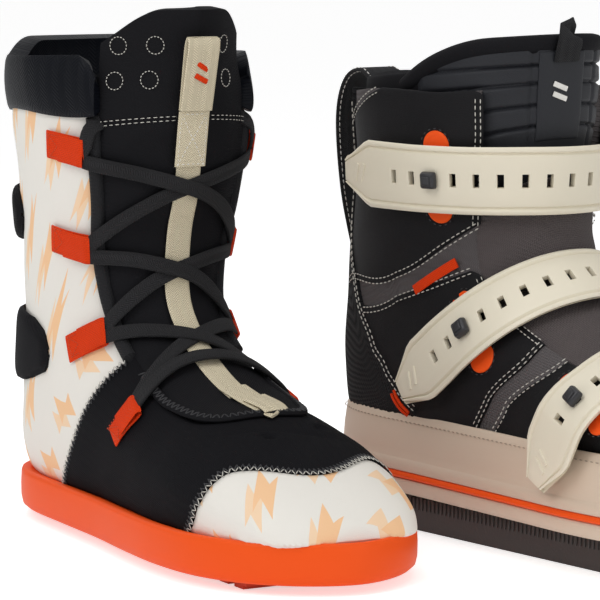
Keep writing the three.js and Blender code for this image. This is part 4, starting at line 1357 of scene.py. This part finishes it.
# Plane through y and z at a slope, and turns of the anchor, split, hook and tail, as in the CAD.
STRAPS = {
    "upper": dict(
        y=146, z=176, slope=0.0, anchor=-100, split=32, hook=68, tail=114, flare=1.5, straight=96
    ),
    "middle": dict(y=161, z=129, slope=0.78, anchor=-86, split=34, hook=67, tail=94, flare=0, straight=82),
    "lower": dict(y=197, z=41, slope=1.78, anchor=-92, split=36, hook=70, tail=111, flare=4, straight=88),
}
STRAP_LIFT = 5.4
SLOT_PITCH, SLOT_HALF, SLOT_RIM = 11.4, 1.6, 3.4
TIP_LENGTH, TIP_CLEAR = 17, 30


def strap_line(strap, turns):
    """The strap's middle line on the boot: the rows where its plane meets the surface."""
    low, high = np.full(len(turns), 2.0), np.full(len(turns), 18.0)
    for _ in range(30):
        middle = (low + high) / 2
        p = OUTER.local(middle, turns)
        under = p[:, 2] - strap["z"] - strap["slope"] * (p[:, 1] - strap["y"]) < 0
        low, high = np.where(under, middle, low), np.where(under, high, middle)
    lift = STRAP_LIFT + strap["flare"] * ramp(turns, *((55, 88) if strap["slope"] else (84, 118)))
    point, normal = OUTER.on(low, turns, lift)
    start = int(np.searchsorted(turns, strap["straight"]))
    if 4 < start < len(turns):
        steps = np.linalg.norm(np.diff(point[start - 1 :], axis=0), axis=1)
        way = point[start - 1] - point[start - 4]
        way /= np.linalg.norm(way)
        point[start:] = point[start - 1] + way * np.cumsum(steps)[:, None]
        normal[start:] = normal[start - 1]
    return point, normal


class BOOT_OT_straps(bpy.types.Operator):
    """Three moulded rubber straps with their slots, hooks and eyelets"""

    bl_idname = "boots.straps"
    bl_label = "Straps"

    def execute(self, context):
        kit = finishes()
        sizes = context.scene.boot_sizes
        half = sizes.strap_width / MM / 2
        for name, strap in STRAPS.items():
            turns = np.linspace(strap["anchor"], strap["tail"], 500)
            point, normal = strap_line(strap, turns)
            run = np.concatenate([[0], np.cumsum(np.linalg.norm(np.diff(point, axis=0), axis=1))]) / MM
            whole = run[-1]
            hook_at = np.interp(strap["hook"], turns, run)
            slots = [hook_at + k * SLOT_PITCH for k in range(-12, 8)]
            slots = [s for s in slots if np.interp(-30, turns, run) < s < whole - TIP_CLEAR]
            stations = {0.0, whole}
            for s in slots:
                stations |= {s - SLOT_HALF, s + SLOT_HALF, s - SLOT_RIM, s + SLOT_RIM}
            stations = sorted(stations)
            full = [stations[0]]
            for s in stations[1:]:
                parts = max(1, int((s - full[-1]) / 3.5))
                full += list(np.linspace(full[-1], s, parts + 1)[1:])
            along = np.array(full)
            lines = np.array(
                [
                    -1, -0.93, -0.86, -0.8, -0.74, -0.4, -0.2, -0.07, 0.07, 0.2, 0.4, 0.74, 0.8, 0.86, 0.93,
                    1.0
                ]
            )
            groove = {3: -1.3, 12: -1.3, 2: 0.1, 13: 0.1, 1: 0.1, 14: 0.1, 0: -0.5, 15: -0.5}
            tangent = np.gradient(point, axis=0)
            side = np.cross(tangent, normal)
            side /= np.linalg.norm(side, axis=1, keepdims=True)

            def place(u, v, along=along, run=run, point=point, normal=normal, side=side, whole=whole):
                i, j = np.rint(v * (len(along) - 1)).astype(int), np.rint(u * (len(lines) - 1)).astype(int)
                s = along[i]
                p, n, w = (
                    np.stack([np.interp(s, run, a[:, k]) for k in range(3)], -1)
                    for a in (point, normal, side)
                )
                left = whole - s
                width = half * np.where(left < TIP_LENGTH, 0.36 + 0.64 * left / TIP_LENGTH, 1.0)
                high = np.array([groove.get(int(k), 0.0) for k in j]) + sizes.strap_thick / MM
                return p + w * (lines[j] * width * MM)[:, None] + n * (high * MM)[:, None]

            body = grid(f"strap_{name}_rubber", (len(lines) - 1, len(along) - 1), place)
            holes = []
            for s in slots:
                i = int(np.argmin(np.abs(along - (s - SLOT_HALF))))
                while along[i] < s + SLOT_HALF - 1e-6:
                    holes += [(i, j) for j in (6, 7, 8)]
                    i += 1
            only(body)
            kept = set(holes)
            counts = len(lines) - 1
            for polygon in body.data.polygons:
                i, j = divmod(polygon.index, counts)
                polygon.select = (i, j) in kept
            for item in (*body.data.vertices, *body.data.edges):
                item.select = False
            bpy.ops.object.mode_set(mode="EDIT")
            bpy.ops.mesh.select_mode(type="FACE")
            bpy.ops.mesh.delete(type="FACE")
            bpy.ops.mesh.select_all(action="SELECT")
            bpy.ops.object.mode_set(mode="OBJECT")
            thicken(body, sizes.strap_thick / MM, 0.5, 2)
            shape_all(body, kit["strap"], None, [f"strap_{name}", f"strap_{name}_flap"], 50)
            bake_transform(body)
            for number, back in enumerate((13.5, 9.0)):
                s = whole - back
                p, n, w = (
                    np.array([np.interp(s, run, a[:, k]) for k in range(3)]) for a in (point, normal, side)
                )
                along_strap = np.cross(w, n)
                line = [
                    p + (w * a * 4.2 + along_strap * a * 1.6 + n * (sizes.strap_thick / MM + 0.1)) * MM
                    for a in (-1, -0.33, 0.33, 1)
                ]
                bar = sweep(f"strap_{name}_bar_{number + 1}", line, [n] * 4, 2.0, 0.9, 3.0, 10)
                shape_all(bar, kit["strap"], "outer_boot", [], 50)
            self.hook(kit, name, strap, turns, point, normal, side)
        return {"FINISHED"}

    def hook(self, kit, name, strap, turns, point, normal, side):
        """The black hook over its slot, and the two sewn eyelets beside the strap."""
        p, n, w = (
            np.array([np.interp(strap["hook"], turns, a[:, k]) for k in range(3)])
            for a in (point, normal, side)
        )
        along = np.cross(n, w)
        for label, size, low, high, bevel in (
            ("hook_stem", (3.0, 5.5), -3, 5.5, 0.4), ("hook_head", (8.6, 8.8), 4.0, 7.8, 1.2),
            ("hook_nose", (4.4, 4.2), 7.2, 8.6, 0.5)
        ):
            bpy.ops.object.select_all(action="DESELECT")
            bpy.ops.mesh.primitive_cube_add(size=1)
            obj = bpy.context.object
            obj.name = obj.data.name = f"strap_{name}_{label}"
            verts = np.array([v.co for v in obj.data.vertices])
            taper = np.where(verts[:, 2] > 0, 0.84 if label == "hook_head" else 1.0, 1.0)
            placed = p + (
                along * (verts[:, [0]] * size[0] * taper[:, None]) + w
                * (verts[:, [1]] * size[1] * taper[:, None])
            ) * MM + n * ((verts[:, [2]] + 0.5) * (high - low) + low) * MM
            obj.data.vertices.foreach_set("co", placed.ravel())
            face_out(obj)
            apply_modifier(obj, "BEVEL", width=bevel * MM, segments=3, limit_method="ANGLE")
            shape_all(
                obj, kit["hard"], "outer_boot", [f"strap_{name}_hook"] if label == "hook_head" else [],
                40
            )
        threads = []
        for sign in (1, -1):
            centre = p + w * sign * 15.4 * MM - n * 3.4 * MM
            bpy.ops.object.select_all(action="DESELECT")
            bpy.ops.mesh.primitive_uv_sphere_add(segments=32, ring_count=12, radius=1)
            disc = bpy.context.object
            disc.name = disc.data.name = f"strap_{name}_eyelet_{'upper' if sign > 0 else 'lower'}"
            verts = np.array([v.co for v in disc.data.vertices])
            r = np.hypot(verts[:, 0], verts[:, 1])
            z = np.sign(verts[:, 2]) * np.abs(verts[:, 2]) ** 0.5 * 0.9
            z = z - np.where(
                verts[:, 2] > 0,
                0.9 * np.exp(-(((r - 0.58) / 0.11) ** 2)) + 0.9 * np.exp(-((r / 0.2) ** 2)), 0
            )
            placed = centre + (along * verts[:, [0]] + w * verts[:, [1]]) * 7.4 * MM + n * z[:, None] * MM
            disc.data.vertices.foreach_set("co", placed.ravel())
            face_out(disc)
            shape_all(
                disc, kit["rubber"], "outer_boot", [f"strap_{name}_eyelets"] if sign > 0 else [],
                60
            )
            for a in np.linspace(0, 2 * math.pi, 17)[:-1]:
                spot = centre + (along * math.cos(a) + w * math.sin(a)) * 8.3 * MM + n * 0.6 * MM
                d = -along * math.sin(a) + w * math.cos(a)
                threads.append((spot, (d * 1.6 * MM, np.cross(n, d) * 0.7 * MM, n * 0.6 * MM)))
        thread = copies(f"strap_{name}_eyelet_thread", thread_bead(), threads)
        shape_all(thread, kit["dark thread"], "outer_boot")


class BOOT_OT_outer_trim(bpy.types.Operator):
    """Rear pull loop, side tag and heel piping"""

    bl_idname = "boots.outer_trim"
    bl_label = "Outer trim"

    def execute(self, context):
        kit = finishes()
        route = [(8, 214), (-4, 222), (-17, 216), (-23, 196), (-19, 160), (-9, 128), (-1, 104)]
        line = smooth_line([(0, y, z) for y, z in route], 50)
        centre = OUTER.world(line)
        tangent = np.gradient(centre, axis=0)
        normal = np.cross(tangent, np.array([1.0, 0, 0]))
        loop = sweep("rear_pull_loop_web", centre, normal, 24, 2.2, 5.0, 14)
        shape_all(loop, kit["lace"], "outer_boot", ["rear_pull_loop"], 50)
        tag = band_on(
            "side_tag_label", OUTER,
            [(11.36, 59, 2.3), (11.42, 66, 2.4), (11.48, 73, 2.4), (11.54, 80.5, 2.3)], 5.0, 1.0, 5, 12, 0,
            1.5
        )
        shape_all(tag, kit["orange web"], "outer_boot", ["side_tag"])
        for number, shift in enumerate((-1.2, 1.2)):
            line = [
                (10.05, 99.2 + shift * 0.7, 2.0), (9.7, 101.3 + shift * 0.7, 2.3),
                (9.35, 103.4 + shift * 0.7, 2.0)
            ]
            piping = band_on(f"heel_piping_{number + 1}", OUTER, line, 1.6, 1.6, 2, 10, 0, 1.5)
            shape_all(
                piping, kit["orange web"], "outer_boot", ["heel_piping"] if number == 0 else [],
                50
            )
        threads = []
        for k in range(2, 46):
            d = tangent[k] / np.linalg.norm(tangent[k])
            n = np.cross(d, np.array([1.0, 0, 0]))
            for x in (-10.4, 10.4):
                for side in (-1, 1):
                    threads.append(
                        (
                            centre[k] + np.array([x * MM, 0, 0]) + n * side * 1.1 * MM,
                            (d * 2.2 * MM, np.array([0.6 * MM, 0, 0]), n * 0.5 * MM)
                        )
                    )
        sewn = copies("rear_pull_loop_thread", thread_bead(), threads)
        shape_all(sewn, kit["mark"], "outer_boot")
        return {"FINISHED"}


class BOOT_OT_outer_stitching(bpy.types.Operator):
    """Double rows of white stitches along the panels and the rand"""

    bl_idname = "boots.outer_stitching"
    bl_label = "Outer stitching"

    def execute(self, context):
        kit = finishes()
        pitch = context.scene.boot_sizes.stitch_pitch / MM
        white = []

        def double(points, out=2.0, gap=2.6):
            for shift in (0, gap):
                white.extend(stitch_places(OUTER, points, pitch, pitch * 0.72, 0.6, shift, out))

        for sign in (1, -1):
            spans = (
                (lambda t: top_panel_low(t) + 0.1, 50, 130, 2.6), (
                    lambda t: top_panel_high(t) - 0.12, 101, 130, -2.6
                ),
                (
                    lambda t: ankle_high(t) - 0.12, 54, 106, -2.6
                ), (lambda t: ankle_low(t) + 0.1, 51, 96, 2.6),
                (lambda t: stay_high(t) - 0.1, 52, 110, -2.6),
            )
            for line, low, high, gap in spans:
                double([(float(line(t)), sign * t) for t in np.linspace(low, high, 14)], 2.2, gap * sign)
            double([(r, sign * 50.6) for r in np.linspace(16.2, 12.2, 8)], 2.2, 2.6 * sign)
            double([(r, sign * 51.4) for r in np.linspace(10.3, 7.3, 8)], 2.3, 2.6 * sign)
            double(
                [(float(r), sign * float(counter_edge(r) + 1.5)) for r in np.linspace(9.3, 16.6, 20)], 2.3,
                -2.6 * sign
            )
        seam = np.array([(x, y) for x, y in sole_outline(OUTER_OUTLINE, -1.2, 420)])
        places = []
        centre = OUTER.world(np.c_[seam, np.full(len(seam), 54.5)])
        tangent = np.roll(centre, -1, 0) - np.roll(centre, 1, 0)
        tangent /= np.linalg.norm(tangent, axis=1, keepdims=True)
        for c, t in list(zip(centre, tangent))[::2]:
            n = np.array([t[1], -t[0], 0.0])
            places.append((c + n * 0.3 * MM, (t * 2.2 * MM, np.array([0, 0, 0.6 * MM]), n * 0.6 * MM)))
        rand = copies("rand_thread", thread_bead(), places)
        shape_all(rand, kit["rand thread"], "outer_boot")
        thread = copies("outer_thread_white", thread_bead(), white)
        shape_all(thread, kit["white thread"], "outer_boot")
        return {"FINISHED"}


CAMERA_AIM, CAMERA_DISTANCE = (0.1912, 0.0490, 0.134), 1.5395
CAMERA_HEADING, CAMERA_TILT = 53, 6.7
CAMERA_LENS, CAMERA_SENSOR = 210, 36


class BOOT_OT_stage(bpy.types.Operator):
    """Pale floor, soft studio light and the camera"""

    bl_idname = "boots.stage"
    bl_label = "Stage"

    def execute(self, context):
        scene = context.scene
        scene.view_settings.view_transform = "Standard"
        bpy.ops.object.select_all(action="DESELECT")
        bpy.ops.mesh.primitive_plane_add(size=60, location=(0, 0, -0.0002))
        floor = context.object
        floor.name = "studio_floor"
        bpy.ops.object.transform_apply(location=True, rotation=True, scale=True)
        floor.data.materials.append(
            material(
                "Studio floor", (0.92, 0.92, 0.92), 0.9,
                finish_with("dust", (0.92, 0.92, 0.92), (0.9, 0.9, 0.9), 0, 0.02, 2, 60, 0.2),
                emission_color=(1, 1, 1, 1), emission_strength=0.45
            )
        )
        ground = Nodes(floor.data.materials[0].node_tree)
        looked_at = ground.add("LightPath").outputs["Is Camera Ray"]
        shader = floor.data.materials[0].node_tree.nodes["Principled BSDF"]
        ground.put(shader.inputs["Emission Strength"], ground.math("MULTIPLY_ADD", looked_at, 0.38, 0.2))
        world = scene.world or bpy.data.worlds.new("Studio")
        scene.world = world
        world.use_nodes = True
        nodes = Nodes(world.node_tree)
        background = world.node_tree.nodes["Background"]
        background.inputs[0].default_value = (1, 1, 1, 1)
        seen = nodes.add("LightPath").outputs["Is Camera Ray"]
        nodes.put(background.inputs[1], nodes.math("MULTIPLY_ADD", seen, 0.57, 0.43))
        aim = Vector(CAMERA_AIM)
        heading, tilt, distance = math.radians(CAMERA_HEADING), math.radians(CAMERA_TILT), CAMERA_DISTANCE
        back = Vector(
            (math.cos(heading) * math.cos(tilt), math.sin(heading) * math.cos(tilt), math.sin(tilt))
        )
        camera = bpy.data.objects.new("camera", bpy.data.cameras.new("camera"))
        camera.data.lens, camera.data.sensor_width = CAMERA_LENS, CAMERA_SENSOR
        camera.location = aim + back * distance
        camera.rotation_euler = (-back).to_track_quat("-Z", "Y").to_euler()
        scene.collection.objects.link(camera)
        scene.camera = camera
        left = Vector((-math.sin(heading), math.cos(heading), 0))
        lights = (
            ("key", back * 0.9 - left * 0.9, 1.1, 0.9, 8.5),
            ("fill", back * 0.9 + left * 1.1, 0.6, 1.2, 4),
            ("top", back * 0.1, 1.5, 1.4, 6.5),
            ("rim", back * -0.9 - left * 0.5, 0.9, 0.8, 2.5),
        )
        for label, way, height, size, power in lights:
            light = bpy.data.objects.new(label + "_light", bpy.data.lights.new(label + "_light", "AREA"))
            light.data.size, light.data.energy = size, power
            light.location = aim + Vector((way.x, way.y, height))
            light.rotation_euler = (aim - light.location).to_track_quat("-Z", "Y").to_euler()
            scene.collection.objects.link(light)
        return {"FINISHED"}


STEPS = (
    BOOT_OT_stage,
    BOOT_OT_liner_upper,
    BOOT_OT_liner_sole,
    BOOT_OT_lacing,
    BOOT_OT_liner_trim,
    BOOT_OT_liner_stitching,
    BOOT_OT_chassis,
    BOOT_OT_outer_sole,
    BOOT_OT_outer_upper,
    BOOT_OT_outer_tongue,
    BOOT_OT_straps,
    BOOT_OT_outer_trim,
    BOOT_OT_outer_stitching,
)


class BOOT_PT_panel(bpy.types.Panel):
    """Lists the steps that build the boots"""

    bl_label = "Wakeboard boots"
    bl_idname = "BOOT_PT_panel"
    bl_space_type = "VIEW_3D"
    bl_region_type = "UI"
    bl_category = "Boots"

    def draw(self, context):
        for group in (context.scene.boot_colours, context.scene.boot_sizes):
            for key in group.__annotations__:
                self.layout.prop(group, key)
        for step in STEPS:
            self.layout.operator(step.bl_idname)


CLASSES = (BootColours, BootSizes, *STEPS, BOOT_PT_panel)


def register():
    for cls in CLASSES:
        bpy.utils.register_class(cls)
    bpy.types.Scene.boot_colours = PointerProperty(type=BootColours)
    bpy.types.Scene.boot_sizes = PointerProperty(type=BootSizes)


def unregister():
    del bpy.types.Scene.boot_sizes
    del bpy.types.Scene.boot_colours
    for cls in reversed(CLASSES):
        bpy.utils.unregister_class(cls)


def main():
    register()
    for step in STEPS:
        family, action = step.bl_idname.split(".")
        getattr(getattr(bpy.ops, family), action)()


if __name__ == "__main__":
    main()
